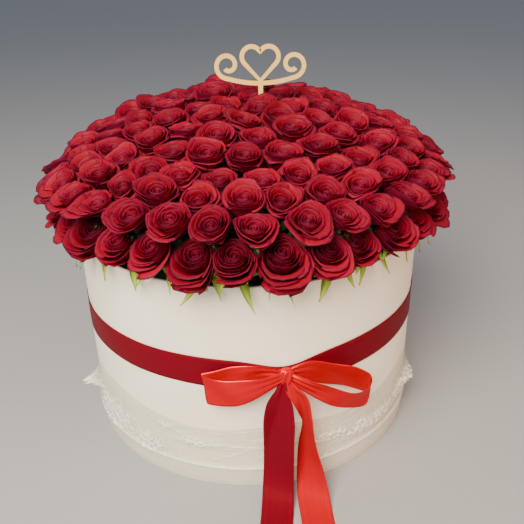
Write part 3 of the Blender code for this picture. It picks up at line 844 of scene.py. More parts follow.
def press_heads(mesh, members, roses):
    """Squeezes each head between its neighbours, so that petals crowd up and hardly cross."""
    points = np.empty(len(mesh.vertices) * 3, np.float32)
    mesh.vertices.foreach_get("co", points)
    points = points.reshape(len(members), -1, 3).astype(np.float64)
    for index, rose in enumerate(members):
        centre = np.array(rose.centre[:])
        part = points[index] - centre
        for normal, limit in crowd_planes(rose, roses):
            reach = part @ normal
            soft = SQUEEZE_FROM * limit
            most = max(HEAD_REACH * rose.size, limit + 1e-4)
            squeezed = soft + (reach - soft) * (limit - soft) / (most - soft)
            inwards = np.where(reach > soft, np.minimum(squeezed - reach, 0.0), 0.0)
            part = part + inwards[:, None] * normal
        points[index] = part + centre
    mesh.vertices.foreach_set("co", points.astype(np.float32).reshape(-1))


def crowd_planes(rose, roses):
    """Planes between a rose and its neighbours, nearer to the smaller of the two."""
    found = []
    for other in roses:
        away = other.centre - rose.centre
        if other is rose or away.length > CROWD_REACH:
            continue
        share = rose.size / (rose.size + other.size)
        found.append((np.array(away.normalized()[:]), share * away.length + PETAL_OVERLAP))
    return found


def rose_nodes(roses, finish):
    """The heads of each node's roses as one piece."""
    shelf = shelf_of("head_shape", [rose_head(seed) for seed in range(HEAD_SHAPES)])
    tree = scatter_tree()
    draw = random.Random(5)
    shapes = (range(CUPPED_HEADS), range(HEAD_SHAPES), range(CUPPED_HEADS, HEAD_SHAPES))
    groups = {}
    for rose in roses:
        groups.setdefault(rose.group, []).append(rose)
    for (row, place), members in groups.items():
        name = f"roses_row{row + 1}_{place + 1:02d}"
        picks = [draw.choice(shapes[min(row, 2)]) for rose in members]
        tints = [draw.random() for rose in members]
        growth = LOW_ROWS_GROWTH if row < 2 else 1.0
        mesh = scattered(name + "_heads", members, picks, tints, shelf, tree, finish, growth)
        press_heads(mesh, members, roses)
        finished(mesh, name + "_heads", finish, [name])
    clear_shelf(shelf)


# Ribbon

SATIN_THICKNESS = 0.0004
# How far the band lies off the wall and the tails at least above the ground
BAND_GAP = 0.0007
TAIL_GAP = 0.0006
# How far the knot's middle stands off the wall
KNOT_PROUD = 0.0078
# Steps from one row of a ribbon's table to the next
CURVE_STEPS = 9
# Width of a ribbon where it is gathered at the knot, and the pleats across it there
LOOP_GATHER = (0.013, 3)
TAIL_GATHER = (0.008, 2)
# Height of the pleats, of the ribbon's crown and of the loops' ripples, and the ripples' pace in
# radians for each metre
PLEAT_HEIGHT = 0.0015
CROWN_HEIGHT = 0.0005
RIPPLE_HEIGHT = 0.0011
RIPPLE_PACE = 110.0


def smooth_path(knots, steps=CURVE_STEPS):
    """Rows of numbers read from a Catmull-Rom curve through the given rows."""
    made = []
    last = len(knots) - 1
    for first in range(last):
        four = [knots[min(max(first + shift, 0), last)] for shift in (-1, 0, 1, 2)]
        for step in range(steps):
            t = step / steps
            made.append(tuple(catmull(*values, t) for values in zip(*four)))
    made.append(tuple(knots[-1]))
    return made


def catmull(a, b, c, d, t):
    square = (2 * a - 5 * b + 4 * c - d) * t**2
    cube = (3 * b - a - 3 * c + d) * t**3
    return 0.5 * (2 * b + (c - a) * t + square + cube)


def folded_width(columns, width, ridge, left, right):
    """Across and back of each column of a ribbon that is folded along a ridge."""
    places = np.linspace(-0.5, 0.5, columns) * width - 0.5 * ridge * width
    turns = np.radians(np.where(places < 0.0, left, right))
    across = places * np.cos(turns)
    back = np.sqrt((places * np.sin(turns)) ** 2 + 1e-7)
    return across - 0.5 * (across[0] + across[-1]), back - back.mean()


def ribbon_mesh(name, centres, across, opened, gather, folds=None, ripple=0.0, columns=17):
    """A strip of satin along its centres, gathered into pleats where it has not opened out."""
    narrow, pleats = gather
    points = []
    count = len(centres)
    lengths = [0.0]
    for first, second in zip(centres, centres[1:]):
        lengths.append(lengths[-1] + (second - first).length)
    for index, centre in enumerate(centres):
        ahead = (centres[min(index + 1, count - 1)] - centres[max(index - 1, 0)]).normalized()
        side = across[index].normalized()
        if folds:
            side = (side - ahead * side.dot(ahead)).normalized()
        face = ahead.cross(side).normalized()
        share = min(max(opened[index], 0.0), 1.0)
        width = narrow + (RIBBON_WIDTH - narrow) * share
        shifts, backs = folded_width(columns, width, *(folds[index] if folds else (0.0, 0.0, 0.0)))
        for column in range(columns):
            place = 2.0 * column / (columns - 1) - 1.0
            rise = math.sin(place * math.pi * pleats + 0.6) * PLEAT_HEIGHT * (1.0 - share) ** 2
            rise += CROWN_HEIGHT * (1.0 - place**2)
            rise += ripple * share * math.sin(RIPPLE_PACE * lengths[index] + 2.2 * place)
            points.append(centre + side * shifts[column] + face * (backs[column] - rise if folds else rise))
    mesh = mesh_of(name, points, grid_faces(count, columns))
    put_ribbon_uv(mesh, columns, lengths)
    return mesh, lengths[-1]


def ribbon_piece(mesh, name, satin, replaced):
    obj = finished(mesh, name, satin, [replaced])
    cloth = obj.modifiers.new("cloth", "SOLIDIFY")
    cloth.thickness = SATIN_THICKNESS
    cloth.offset = 0.0
    return obj


def on_wall(shift, proud, height):
    """A place at a distance along the wall from the knot and at a distance from the wall."""
    azimuth = KNOT_AZIMUTH + math.degrees(shift / WALL_RADIUS)
    return at(azimuth, WALL_RADIUS + proud, height)


def ribbon_band(satin):
    """The ribbon round the wall, closed in a ring, with long creases that gather at the knot."""
    columns, sides = 13, 480
    points = []
    for side in range(sides):
        azimuth = 360.0 * side / sides
        off = turn_from(azimuth, KNOT_AZIMUTH)
        to_knot = (BAND_HEIGHT - KNOT_HEIGHT) * bump(off, 0.0, 22.0)
        middle = BAND_HEIGHT + 0.003 * sine(azimuth) - to_knot
        pinch = bump(off, 0.0, 9.0)
        near = bump(off, 0.0, 34.0)
        half = 0.5 * RIBBON_WIDTH * (1.0 - 0.55 * pinch)
        for column in range(columns):
            place = 2.0 * column / (columns - 1) - 1.0
            crease = 0.0008 * near * math.sin(place * 7.0 + 0.05 * off) ** 2
            crease += 0.0009 * pinch * (1 + math.sin(place * 11.0))
            crease += 0.0002 * (1 + math.sin(math.radians(13 * azimuth) + 2.5 * place))
            points.append(at(azimuth, WALL_RADIUS + BAND_GAP + crease, middle + half * place))
    mesh = mesh_of("satin_band", points, ring_faces(sides, columns))
    girth = 2 * math.pi * WALL_RADIUS
    put_ribbon_uv(mesh, columns, [girth * (side / sides) for side in range(sides + 1)])
    return ribbon_piece(
        mesh, "satin_band", satin, "ribbon_band")


# Distance along the wall from the knot, distance from the wall, height, how far it has opened
# out, and how far its upper edge leans out, in degrees
LEFT_LOOP = (
    (-0.0040, 0.0055, 0.1680, 0.0, 0.0),
    (-0.0300, 0.0050, 0.1690, 0.5, 0.0),
    (-0.0580, 0.0070, 0.1615, 1.0, -4.0),
    (-0.0830, 0.0100, 0.1550, 1.0, -6.0),
    (-0.0885, 0.0122, 0.1535, 1.0, -6.0),
    (-0.0835, 0.0144, 0.1525, 1.0, -4.0),
    (-0.0580, 0.0185, 0.1530, 0.95, 0.0),
    (-0.0330, 0.0175, 0.1595, 0.5, 0.0),
    (-0.0040, 0.0095, 0.1660, 0.0, 0.0),
)
RIGHT_LOOP = (
    (0.0040, 0.0055, 0.1680, 0.0, 0.0),
    (0.0280, 0.0060, 0.1665, 0.6, 5.0),
    (0.0560, 0.0090, 0.1560, 1.0, 14.0),
    (0.0800, 0.0150, 0.1455, 1.0, 18.0),
    (0.0930, 0.0250, 0.1370, 1.0, 20.0),
    (0.0850, 0.0340, 0.1305, 1.0, 20.0),
    (0.0590, 0.0345, 0.1345, 1.0, 24.0),
    (0.0320, 0.0240, 0.1495, 0.62, 15.0),
    (0.0040, 0.0095, 0.1650, 0.0, 0.0),
)
# x, y, z, how far the ribbon has opened out, the place of its fold from edge (-1) to edge (1), and
# how far it turns back on the left and on the right of that fold, in degrees
LEFT_TAIL = (
    (0.0335, -0.2340, 0.1610, 0.0, 0.0, 10.0, 10.0),
    (0.0318, -0.2380, 0.1510, 0.25, 0.0, 14.0, 14.0),
    (0.0292, -0.2400, 0.1340, 0.75, 0.1, 10.0, 14.0),
    (0.0285, -0.2405, 0.1050, 1.0, -0.4, 6.0, 22.0),
    (0.0283, -0.2400, 0.0700, 1.0, -0.8, 4.0, 24.0),
    (0.0280, -0.2410, 0.0400, 1.0, -0.9, 0.0, 22.0),
    (0.0272, -0.2460, 0.0200, 1.0, -0.9, 0.0, 16.0),
    (0.0262, -0.2560, 0.0080, 1.0, -0.9, 0.0, 8.0),
    (0.0250, -0.2690, 0.0025, 1.0, -0.9, 0.0, 2.0),
    (0.0235, -0.2840, 0.0008, 1.0, -0.9, 0.0, 0.0),
    (0.0180, -0.3250, 0.0006, 1.0, -0.9, 0.0, 0.0),
)
RIGHT_TAIL = (
    (0.0390, -0.2335, 0.1610, 0.0, 0.0, 10.0, 10.0),
    (0.0440, -0.2385, 0.1520, 0.25, 0.0, 20.0, 20.0),
    (0.0530, -0.2400, 0.1400, 0.45, -0.1, 28.0, 36.0),
    (0.0580, -0.2400, 0.1225, 0.48, -0.45, 32.0, 52.0),
    (0.0620, -0.2390, 0.1010, 0.55, -1.0, 30.0, 62.0),
    (0.0630, -0.2375, 0.0840, 0.67, -1.0, 0.0, 57.0),
    (0.0634, -0.2365, 0.0670, 0.80, -1.0, 0.0, 49.0),
    (0.0652, -0.2370, 0.0450, 0.93, -1.0, 0.0, 39.0),
    (0.0668, -0.2430, 0.0230, 1.0, -1.0, 0.0, 29.0),
    (0.0685, -0.2540, 0.0090, 1.0, -1.0, 0.0, 12.0),
    (0.0700, -0.2680, 0.0028, 1.0, -1.0, 0.0, 2.0),
    (0.0710, -0.2840, 0.0008, 1.0, -1.0, 0.0, 0.0),
    (0.0737, -0.3250, 0.0006, 1.0, -1.0, 0.0, 0.0),
)


def bow_loop(name, knots, satin, node_name, slant):
    """One loop of the bow, out from the knot and back; a slant tips its edges along the wall."""
    rows = smooth_path(knots)
    side, out = along_wall(KNOT_AZIMUTH) * slant, outward(KNOT_AZIMUTH)
    centres = [on_wall(*row[:3]) for row in rows]
    across = []
    for row in rows:
        lean = math.radians(row[4])
        across.append(side + out * math.sin(lean) + Vector((0, 0, math.cos(lean))))
    opened = [row[3] for row in rows]
    mesh, length = ribbon_mesh(name, centres, across, opened, LOOP_GATHER, ripple=RIPPLE_HEIGHT)
    return ribbon_piece(mesh, name, satin, node_name)


def ribbon_tail(name, knots, satin, node_name):
    """One end of the ribbon, which hangs from the knot to the ground and lies on it."""
    rows = smooth_path(knots)
    centres = [Vector((row[0], row[1], max(row[2], TAIL_GAP))) for row in rows]
    across = [Vector((1.0, 0.0, 0.0))] * len(rows)
    opened = [row[3] for row in rows]
    mesh, length = ribbon_mesh(name, centres, across, opened, TAIL_GATHER, [row[4:7] for row in rows])
    return ribbon_piece(mesh, name, satin, node_name)


def bow_knot(satin):
    """The knot: the ribbon drawn tight over itself, with pleats that fan out downwards."""
    around, up = 40, 17
    half_width, half_depth, half_height = 0.0086, 0.0064, 0.0104
    centre = on_wall(0.0, KNOT_PROUD, KNOT_HEIGHT)
    points = []
    for row in range(up):
        t = row / (up - 1)
        lift = math.cos(math.pi * t)
        girth = math.sin(math.pi * t) ** 0.55 if 0 < row < up - 1 else 0.02
        for step in range(around):
            turn = 2 * math.pi * step / around
            pleat = 1.0 + 0.17 * math.sin(7 * turn + 2.5 * lift) * girth
            x = half_width * girth * pleat * math.cos(turn) * (1.0 + 0.12 * lift**2)
            y = half_depth * girth * pleat * math.sin(turn)
            rise = Vector((0, 0, half_height * lift))
            points.append(centre + along_wall(KNOT_AZIMUTH) * x + outward(KNOT_AZIMUTH) * y + rise)
    faces = grid_faces(up, around, wrap=True)
    faces.append(tuple(range(around)))
    faces.append(tuple(range(around * (up - 1), around * up))[::-1])
    mesh = mesh_of("satin_knot", points, faces, outwards=True)
    layer = mesh.uv_layers.new(name="ribbon")
    for loop in mesh.loops:
        row, step = divmod(loop.vertex_index, around)
        layer.data[loop.index].uv = (row / up * 0.030, step / around * 0.05)
    return finished(mesh, "satin_knot", satin, ["bow_knot"])


# Film

# How far the film lies off the wall, and where its lower edge is
FILM_GAP = 0.0006
FILM_FOOT = 0.0025


# Azimuth and height of both ends of single folds in the film, and their width
FILM_FOLDS = (
    (-16.0, 0.0640, -5.0, 0.0040, 0.0011),
    (-14.0, 0.0350, -2.0, 0.0560, 0.0008),
    (-29.0, 0.0750, -16.0, 0.0650, 0.0012),
    (-3.0, 0.0580, 3.0, 0.0330, 0.0009),
    (22.0, 0.0300, 38.0, 0.0650, 0.0009),
    (30.0, 0.0800, 58.0, 0.0900, 0.0010),
    (-72.0, 0.0850, -48.0, 0.0400, 0.0012),
    (96.0, 0.0800, 122.0, 0.0330, 0.0011),
    (150.0, 0.0600, 171.0, 0.0300, 0.0010),
    (200.0, 0.0800, 226.0, 0.0450, 0.0011),
    (248.0, 0.0300, 268.0, 0.0780, 0.0010),
)
# Azimuth, height, spread in degrees and in height of the places where the film is crumpled
FILM_CRUMPLES = (
    (-55.0, 0.0480, 14.0, 0.0240),
    (-37.0, 0.0400, 8.0, 0.0140),
    (-18.0, 0.0610, 4.5, 0.0050),
    (-29.0, 0.0780, 3.0, 0.0040),
    (24.0, 0.0580, 9.0, 0.0070),
    (42.0, 0.0500, 14.0, 0.0110),
    (64.0, 0.0560, 10.0, 0.0180),
    (110.0, 0.0500, 14.0, 0.0140),
    (165.0, 0.0560, 18.0, 0.0120),
    (215.0, 0.0480, 15.0, 0.0140),
    (262.0, 0.0540, 14.0, 0.0160),
)
# The same of the tufts that stand out at both sides, and how far they stand out
FILM_TUFTS = ((-66.5, 0.071, 4.0, 0.0065, 0.021), (66.0, 0.066, 5.0, 0.014, 0.011))
# The ridges that run round: how many, the lowest one's height and the step to the next
FILM_RIDGES = (13, 0.056, 0.0027)


def film_top(azimuth):
    """Height of the film's upper edge, which rises at both sides."""
    left = 0.014 * bump(turn_from(azimuth, -60.0), 0.0, 16.0)
    right = 0.010 * bump(turn_from(azimuth, 62.0), 0.0, 20.0)
    return FILM_TOP + left + right + 0.003 * sine(7 * azimuth + 20)


def film_wrap(finish):
    """Clear film wound round the foot of the box and over the lid's rim: fine ridges run round it, with
    crumpled places, single folds and a line where it turns over the rim that stands out a little and
    carries a painted highlight."""
    draw = random.Random(8)
    columns, rows = 900, 64
    azimuths = np.arange(columns) * 360.0 / columns
    turn = np.radians(azimuths)[:, None]
    tops = np.array([film_top(azimuth) for azimuth in azimuths])[:, None]
    share = np.linspace(0, 1, rows)[None, :]
    height = FILM_FOOT + share * (tops - FILM_FOOT)

    def near(azimuth, width):
        return bump(turn_from(azimuths, azimuth), 0.0, width)[:, None]

    def wave(least, most):
        return np.sin(draw.randint(least, most) * turn + draw.uniform(0, 6.3))

    ridges = np.zeros((columns, rows))
    count, lowest, step = FILM_RIDGES
    for ridge in range(count):
        wander = 0.0014 * wave(2, 7)
        wander = wander + 0.0006 * wave(11, 31)
        strength = 0.55 + 0.45 * wave(3, 19)
        line = bump(height - (lowest + step * ridge), wander, draw.uniform(0.0007, 0.0013))
        ridges = np.maximum(ridges, line * strength * draw.uniform(0.5, 1.0))
    # The ridges are strongest in front
    ridges = ridges * (0.45 + 0.55 * near(-8.0, 26.0))
    mask = np.zeros((columns, rows))
    for azimuth, level, width, spread in FILM_CRUMPLES:
        mask = np.maximum(mask, near(azimuth, width) * bump(height, level, spread))
    net = np.zeros((columns, rows))
    for column, row in zip(*np.nonzero(mask > 0.04)):
        along = WALL_RADIUS * math.radians(azimuths[column])
        cells = noise.voronoi(Vector((along, height[column, row], 0.0)) * FILM_CRUMPLE_SCALE)[0]
        net[column, row] = max(0.0, 1.0 - 3.2 * (cells[1] - cells[0]))
    crumple = net * np.clip(1.6 * mask, 0.0, 1.0)
    folds = np.zeros((columns, rows))
    for start, low, end, high, width in FILM_FOLDS:
        along = (turn_from(azimuths, start) / (end - start))[:, None]
        fold = bump(height, low + along * (high - low), width) * ((along > 0) & (along < 1))
        folds = np.maximum(folds, fold)
    over_lid = 1.0 / (1.0 + np.exp((height - LID_RIM_HEIGHT - 0.0022) / 0.0007))
    rim_line = bump(height, LID_RIM_HEIGHT - 0.0004, 0.0019)
    grain = np.random.default_rng(4).random((columns, rows))
    tuft = sum(
        proud * near(azimuth, width) * bump(height, level, spread)
        for azimuth, level, width, spread, proud in FILM_TUFTS)
    # How far it stands out, which ends in nothing at the upper edge
    proud = 0.0007 * rim_line + 0.0009 * ridges + 0.0030 * crumple + 0.0003 * folds
    proud = proud + tuft * (0.7 + 0.6 * grain)
    proud = proud + 0.0011 * mask * grain + 0.0015 * bump(height, 0.045, 0.022)
    proud = proud * np.clip((1.0 - share) * 14.0, 0.0, 1.0)
    # How white and opaque it is painted, a painted highlight: along its creases, at its upper edge, at the
    # tufts and where it is bunched in front
    edge = 0.4 * bump(share, 1.0, 0.018)
    bunch = 0.42 * near(-16.0, 24.0) * np.exp(-(((height - 0.071) / 0.017) ** 4))
    crease = np.maximum.reduce([1.05 * ridges, crumple, 0.9 * folds, 0.95 * rim_line, edge + bunch])
    crease = np.clip(crease + 22.0 * tuft * (0.3 + grain) + 0.12 * mask, 0.0, 1.0)
    radius = WALL_RADIUS + FILM_GAP + over_lid * (LID_CARD + GAP + 0.0004) + proud
    points = np.stack([np.sin(turn) * radius, -np.cos(turn) * radius, height], axis=2)
    mesh = mesh_of("clear_film", points.reshape(-1, 3).tolist(), ring_faces(columns, rows))
    put_attribute(mesh, "crease", crease.reshape(-1))
    obj = finished(mesh, "clear_film", finish, ["film_wrap"])
    return obj


# Topper

def heart_line(up, steps):
    """A heart's middle line, as across and up: two round lobes and straight sides down to a tip."""
    notch = math.acos(-LOBE_ACROSS / LOBE_RADIUS)
    drop = LOBE_UP + HEART_TIP
    reach = math.hypot(LOBE_ACROSS, drop)
    touch = math.asin(LOBE_RADIUS / reach) + math.atan2(LOBE_ACROSS, drop)
    lobe = []
    for step in range(steps + 1):
        turn = notch - (notch + touch) * step / steps
        lobe.append((LOBE_ACROSS + LOBE_RADIUS * math.cos(turn), LOBE_UP + LOBE_RADIUS * math.sin(turn)))
    mirrored = [(-x, z) for x, z in reversed(lobe[1:])]
    return [(x, up + z) for x, z in lobe + [(0.0, -HEART_TIP)] + mirrored]


def scroll_line(side, count=64):
    """A scroll's middle line: it runs aside from the stick, then curls up and inwards."""
    line = []
    for index in range(count):
        t = index / (count - 1)
        if t < 0.45:
            share = t / 0.45
            line.append((side * (0.001 + 0.040 * share), 0.001 + 0.006 * share**2))
        else:
            share = (t - 0.45) / 0.55
            turn = math.radians(-90 + 400 * share)
            radius = 0.0165 * (1.0 - 0.66 * share)
            line.append((side * (0.041 + radius * math.cos(turn)), 0.0235 + radius * math.sin(turn)))
    return line


def ply_stroke(name, line, closed=False, width=0.0055):
    """A bar of plywood along a line of places across and up."""
    count = len(line)
    points = []
    deep = Vector((0, 0.5 * PLY_THICKNESS, 0))
    for index, (x, z) in enumerate(line):
        if closed:
            before, after = line[index - 1], line[(index + 1) % count]
        else:
            before, after = line[max(index - 1, 0)], line[min(index + 1, count - 1)]
        ahead = Vector((after[0] - before[0], 0, after[1] - before[1])).normalized()
        across = Vector((ahead.z, 0, -ahead.x)) * 0.5 * width
        centre = Vector((TOPPER_X + x, TOPPER_Y, TOPPER_BASE + z))
        points += [centre + across - deep, centre - across - deep]
        points += [centre - across + deep, centre + across + deep]
    return placed(name, mesh_of(name, points, bar_faces(0, count, closed), outwards=True))


def topper(face_finish, edge_finish):
    """A heart between two scrolls on a stick, all one piece of plywood."""
    stick_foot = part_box("topper")[0][2]
    strokes = [
        ply_stroke("heart", heart_line(HEART_UP, 26), closed=True),
        ply_stroke("stick", [(0.0, stick_foot - TOPPER_BASE), (0.0, STICK_TOP)], width=0.006),
        ply_stroke("left_scroll", scroll_line(-1)),
        ply_stroke("right_scroll", scroll_line(1)),
    ]
    first = strokes[0]
    for other in strokes[1:]:
        union = first.modifiers.new(other.name, "BOOLEAN")
        union.operation = "UNION"
        union.object = other
    mesh = baked(first)
    for stroke in strokes:
        bpy.data.objects.remove(stroke)
    mesh.materials.clear()
    for finish in (face_finish, edge_finish):
        mesh.materials.append(finish)
    for polygon in mesh.polygons:
        polygon.material_index = 0 if abs(polygon.normal.y) > 0.9 else 1
    mesh.shade_smooth()
    mesh.set_sharp_from_angle(angle=math.radians(40))
    return finished(mesh, "plywood_topper", None, ["topper"])


# Sepals, calyxes and stems

# The first shapes are for the lowest row. In as many others, for the rows above, the green is broad and
# dark, a painted shade: dark sheets that fill the space among the stems.
BRIGHT_STARS = 4
STEM_RADIUS = 0.0024


def sepal_star(seed):
    """A calyx with five narrow sepals that curl back, of unit head radius."""
    draw = random.Random(100 + seed)
    points, faces, lengths = [], [], []
    steps, sides = 7, 10
    for ring in range(steps):
        t = ring / (steps - 1)
        radius = 0.10 + 0.26 * math.sin(math.pi * min(1.0, t * 1.15)) ** 1.2 * (1 - 0.2 * t)
        for side in range(sides):
            turn = 2 * math.pi * side / sides
            points.append((radius * math.cos(turn), radius * math.sin(turn), -1.15 + 0.55 * t))
            lengths.append(0.0)
    faces += grid_faces(steps, sides, wrap=True)
    faces.append(tuple(range(sides))[::-1])
    faces.append(tuple(range(sides * (steps - 1), sides * steps)))
    for sepal in range(5):
        turn = 2 * math.pi * sepal / 5 + draw.uniform(-0.3, 0.3)
        reach = draw.uniform(0.75, 1.15)
        curl = draw.uniform(0.7, 1.5)
        twist = draw.uniform(-0.5, 0.5)
        wide, tone = 0.115, 1.0
        # The sepals of the rows above are broad and take only the dark start of the green: painted shade
        # among the stems
        if seed >= BRIGHT_STARS:
            reach, curl, wide, tone = 0.45 + 0.25 * reach, 0.9 + 0.5 * curl, 0.26, 0.15
        add_sepal(points, faces, lengths, turn, reach, curl, twist, wide, tone)
    mesh = mesh_of(f"sepal_star_{seed:02d}", points, faces, outwards=True)
    put_attribute(mesh, "petal_length", lengths)
    return mesh


def add_sepal(points, faces, lengths, turn, reach, curl, twist, wide, tone):
    """Adds a narrow pointed leaf with a folded middle, out from the calyx and curled down."""
    steps = 9
    around, tightness = Matrix.Rotation(turn, 3, "Z"), max(curl * 1.5, 0.1)
    faces.extend(bar_faces(len(points), steps))
    for step in range(steps):
        t = step / (steps - 1)
        bend = curl * t * 1.5
        out = 0.26 + reach * math.sin(bend) / tightness
        height = -0.72 - reach * (1 - math.cos(bend)) / tightness
        half = wide * math.sin(math.pi * min(1.0, 0.30 + 0.70 * t)) ** 0.8 + 0.004
        for across, rise in ((-1, 0.02), (0, -0.02), (1, 0.02), (0, -0.045)):
            aside = across * half
            lifted = height + rise + aside * math.sin(twist * t)
            points.append(around @ Vector((out, aside * math.cos(twist * t), lifted)))
            lengths.append(tone * t)


# Azimuth at the root and height of the tip of the sepals that show over the box's edge in front,
# how far the tip swings aside in degrees, and half the width
FRONT_SEPALS = (
    (-32.0, 0.2680, 1.5, 0.0044), (-26.5, 0.2735, -4.0, 0.0040), (-21.0, 0.2745, 1.0, 0.0020),
    (-13.2, 0.2620, -4.5, 0.0042), (-8.6, 0.2690, 1.5, 0.0042), (-2.0, 0.2565, 3.2, 0.0046),
    (5.0, 0.2685, -0.5, 0.0014), (9.0, 0.2600, 2.0, 0.0015), (20.5, 0.2630, -3.5, 0.0048),
    (25.5, 0.2680, 2.0, 0.0030), (31.5, 0.2710, -3.0, 0.0036), (37.5, 0.2690, 2.5, 0.0034),
    (49.0, 0.2740, -2.0, 0.0030),
)


def rim_sepals():
    """The sepals of the lowest row that hang over the box's edge, narrow, folded and curled at the tip."""
    draw = random.Random(77)
    tips = list(FRONT_SEPALS)
    azimuth = 57.0
    while azimuth < 322.0:
        tip, lean = draw.uniform(0.259, 0.274), draw.uniform(-4.0, 4.0)
        tips.append((azimuth, tip, lean, draw.uniform(0.0022, 0.0042)))
        azimuth += draw.uniform(5.5, 12.0)
    points, faces, lengths = [], [], []
    steps = 12
    for azimuth, tip, lean, wide in tips:
        faces += bar_faces(len(points), steps)
        curl = draw.uniform(0.002, 0.009)
        twist = draw.uniform(-1.2, 1.2)
        path = ((0.2270, 0.3000), (0.2400, 0.2920), (0.2370, tip + 0.012), (0.2370 + curl, tip))
        for step in range(steps):
            t = step / (steps - 1)
            radius, height = bezier(path, t)
            turn = azimuth + lean * t**2
            half = 1.15 * wide * math.sin(math.pi * (0.2 + 0.8 * t)) + 0.0002
            side = along_wall(turn) * math.cos(twist * t) + outward(turn) * math.sin(twist * t)
            centre = at(turn, radius, height)
            for across, rise in ((-1, 0.6), (0, -0.3), (1, 0.6), (0, -1.0)):
                points.append(centre + side * (across * half) + outward(turn) * 0.0008 * rise)
                lengths.append(0.3 + 0.7 * t)
    mesh = mesh_of("rim_sepals", points, faces, outwards=True)
    put_attribute(mesh, "petal_length", lengths)
    return mesh


def stem_tree():
    """A round stem of a given thickness along each path."""
    tree, given = group_tree("stems_on_paths", "Stems", {
        "Paths": "Geometry", "Stem radius": "Float", "Finish": "Material"})
    curve = node(tree, "GeometryNodeMeshToCurve", {"Mesh": given["Paths"]})
    thickness = {"Resolution": 8, "Radius": given["Stem radius"]}
    ring = node(tree, "GeometryNodeCurvePrimitiveCircle", thickness)
    tube = node(tree, "GeometryNodeCurveToMesh", {
        "Curve": curve.outputs["Curve"], "Profile Curve": ring.outputs["Curve"], "Fill Caps": True})
    return end_group(tree, tube.outputs["Mesh"], given["Finish"], "Stems")


def greens(roses, finish):
    """Calyxes and sepals of every rose, and the stems down to the foam, row by row."""
    shelf = shelf_of("sepal_shape", [sepal_star(seed) for seed in range(2 * BRIGHT_STARS)])
    heads, stems = scatter_tree(), stem_tree()
    draw = random.Random(21)
    for row in range(len(ROSE_ROWS)):
        members = [rose for rose in roses if rose.group[0] == row]
        picks = [draw.randrange(BRIGHT_STARS) + BRIGHT_STARS * (row > 0) for rose in members]
        tints = [0.5] * len(members)
        name = f"sepals_row{row + 1}"
        mesh = scattered(name, members, picks, tints, shelf, heads, finish, SEPALS_GROWTH)
        finished(mesh, name, finish)
        points, edges = [], []
        for rose in members:
            low = len(points)
            stem = (rose.entry - rose.neck).normalized()
            top = rose.centre - rose.axis * 0.8 * HEAD_DEPTH
            points += [rose.entry + stem * STEM_DEPTH, rose.neck, top]
            edges += [(low, low + 1), (low + 1, low + 2)]
        name = f"stems_row{row + 1}"
        paths = mesh_of(name, points, edges=edges)
        mesh = run_nodes(paths, stems, {"Stem radius": STEM_RADIUS, "Finish": finish})
        finished(mesh, name, finish)
    finished(rim_sepals(), "rim_sepals", finish)
    clear_shelf(shelf)


# Camera, light and floor

# The photograph's focal length and its side in pixels, and its camera's place and turns: pitch
# down, yaw and roll in degrees
FOCAL = 635.0
PHOTO_SIDE = 524.0
CAMERA_PLACE = (0.0, -0.80932, 0.59712)
CAMERA_TURNS = (26.378, 1.2444, -0.9856)
SENSOR = 36.0
# Name, place, what it points at, size in metres, power in watts and colour of each light
LIGHTS = (
    ("key", (-0.6, -1.5, 1.7), (0, 0, 0.3), 1.4, 124.0, "#FFEFD8"),
    ("top", (0.1, 0.4, 2.2), (0, 0, 0.3), 1.6, 3.0, "#FFFFFF"),
    ("fill", (1.6, -0.9, 0.9), (0, 0, 0.25), 1.3, 18.0, "#FFBC78"),
)
ROOM_GLOW = 0.47
FLOOR_REACH = 12.0
# The floor lies this much under the lid, so that the two never share a face
FLOOR_DROP = 0.0002


def camera():
    """The camera of the photograph: square, looking down on the box from the front."""
    pitch, yaw, roll = (math.radians(angle) for angle in CAMERA_TURNS)
    view = Vector((math.sin(yaw) * math.cos(pitch), math.cos(yaw) * math.cos(pitch), -math.sin(pitch)))
    level = view.cross(Vector((0, 0, 1))).normalized()
    rise = level.cross(view)
    right = level * math.cos(roll) + rise * math.sin(roll)
    up = rise * math.cos(roll) - level * math.sin(roll)
    data = bpy.data.cameras.new("photo_camera")
    data.sensor_width = SENSOR
    data.lens = SENSOR * FOCAL / PHOTO_SIDE
    obj = placed("photo_camera", data)
    turn = Matrix((right, up, -view)).transposed().to_4x4()
    obj.matrix_world = Matrix.Translation(CAMERA_PLACE) @ turn
    bpy.context.scene.camera = obj


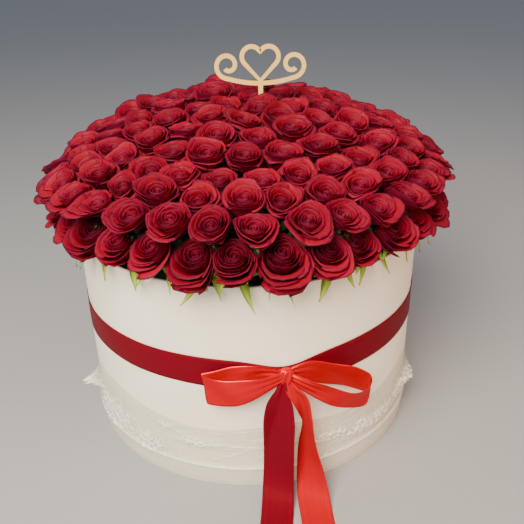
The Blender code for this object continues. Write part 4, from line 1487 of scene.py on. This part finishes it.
def studio():
    """A warm key light from the front, a weak one above, an orange fill at the right, a pale room
    and a grey floor."""
    for name, place, target, size, power, code in LIGHTS:
        data = bpy.data.lights.new(name, "AREA")
        data.shape = "DISK"
        data.size = size
        data.energy = power
        data.color = linear(code)[:3]
        aim = (Vector(target) - Vector(place)).normalized().to_track_quat("-Z", "Y")
        placed(name, data).matrix_world = Matrix.Translation(place) @ aim.to_matrix().to_4x4()
    world = bpy.data.worlds.new("soft_room")
    world.use_nodes = True
    ground = world.node_tree.nodes["Background"]
    ground.inputs["Color"].default_value = linear("#DCE4F0")
    ground.inputs["Strength"].default_value = ROOM_GLOW
    bpy.context.scene.world = world
    corners = [(x * FLOOR_REACH, y * FLOOR_REACH, 0) for x, y in ((-1, -1), (1, -1), (1, 1), (-1, 1))]
    floor = placed("floor", mesh_of("floor", corners, [(0, 1, 2, 3)]))
    floor.data.materials.append(floor_finish())
    floor.location.z = -FLOOR_DROP


def main():
    camera()
    studio()
    box_body(card_finish("coated_white_card", "#FAF3E0", "#FDF7E8"))
    # The lid's card is painted greyer than the box's: painted shade on the low rim
    box_lid(card_finish("coated_lid_card", "#E8E2D2", "#EEE8DA"))
    foam = frame["nodes"]["foam"]
    foam.data.materials.clear()
    foam.data.materials.append(foam_finish())
    # The bow's satin is painted lighter than the rest of the ribbon, a painted light, and is half metallic,
    # which reddens and deepens its gloss
    satin = satin_finish("polyester_satin", ("#C40C1E", "#CE1022", "#D81426"), 0.6, 0.34, metallic=0.6)
    # The same satin painted lighter than the band: painted light on the right tail
    satin_painted_light_tail = satin_finish("polyester_satin_hanging", ("#A00A16", "#AA0C1A", "#B4101E"), 0.16, 0.5)
    # The same satin painted darker: painted shade on the band and the left tail
    satin_painted_shade = satin_finish("polyester_satin_stretched", ("#620B1B", "#6A0D1D", "#720F21"), 0.12, 0.5)
    ribbon_band(satin_painted_shade)
    bow_knot(satin)
    bow_loop("satin_loop_left", LEFT_LOOP, satin, "bow_loop_left", -0.15)
    bow_loop("satin_loop_right", RIGHT_LOOP, satin, "bow_loop_right", 0.0)
    ribbon_tail("satin_tail_left", LEFT_TAIL, satin_painted_shade, "ribbon_tail_left")
    ribbon_tail("satin_tail_right", RIGHT_TAIL, satin_painted_light_tail, "ribbon_tail_right")
    film_wrap(film_finish())
    topper(plywood_finish(), burnt_edge_finish())
    roses = place_roses()
    rose_nodes(roses, rose_petal_finish())
    greens(roses, sepal_finish())


main()
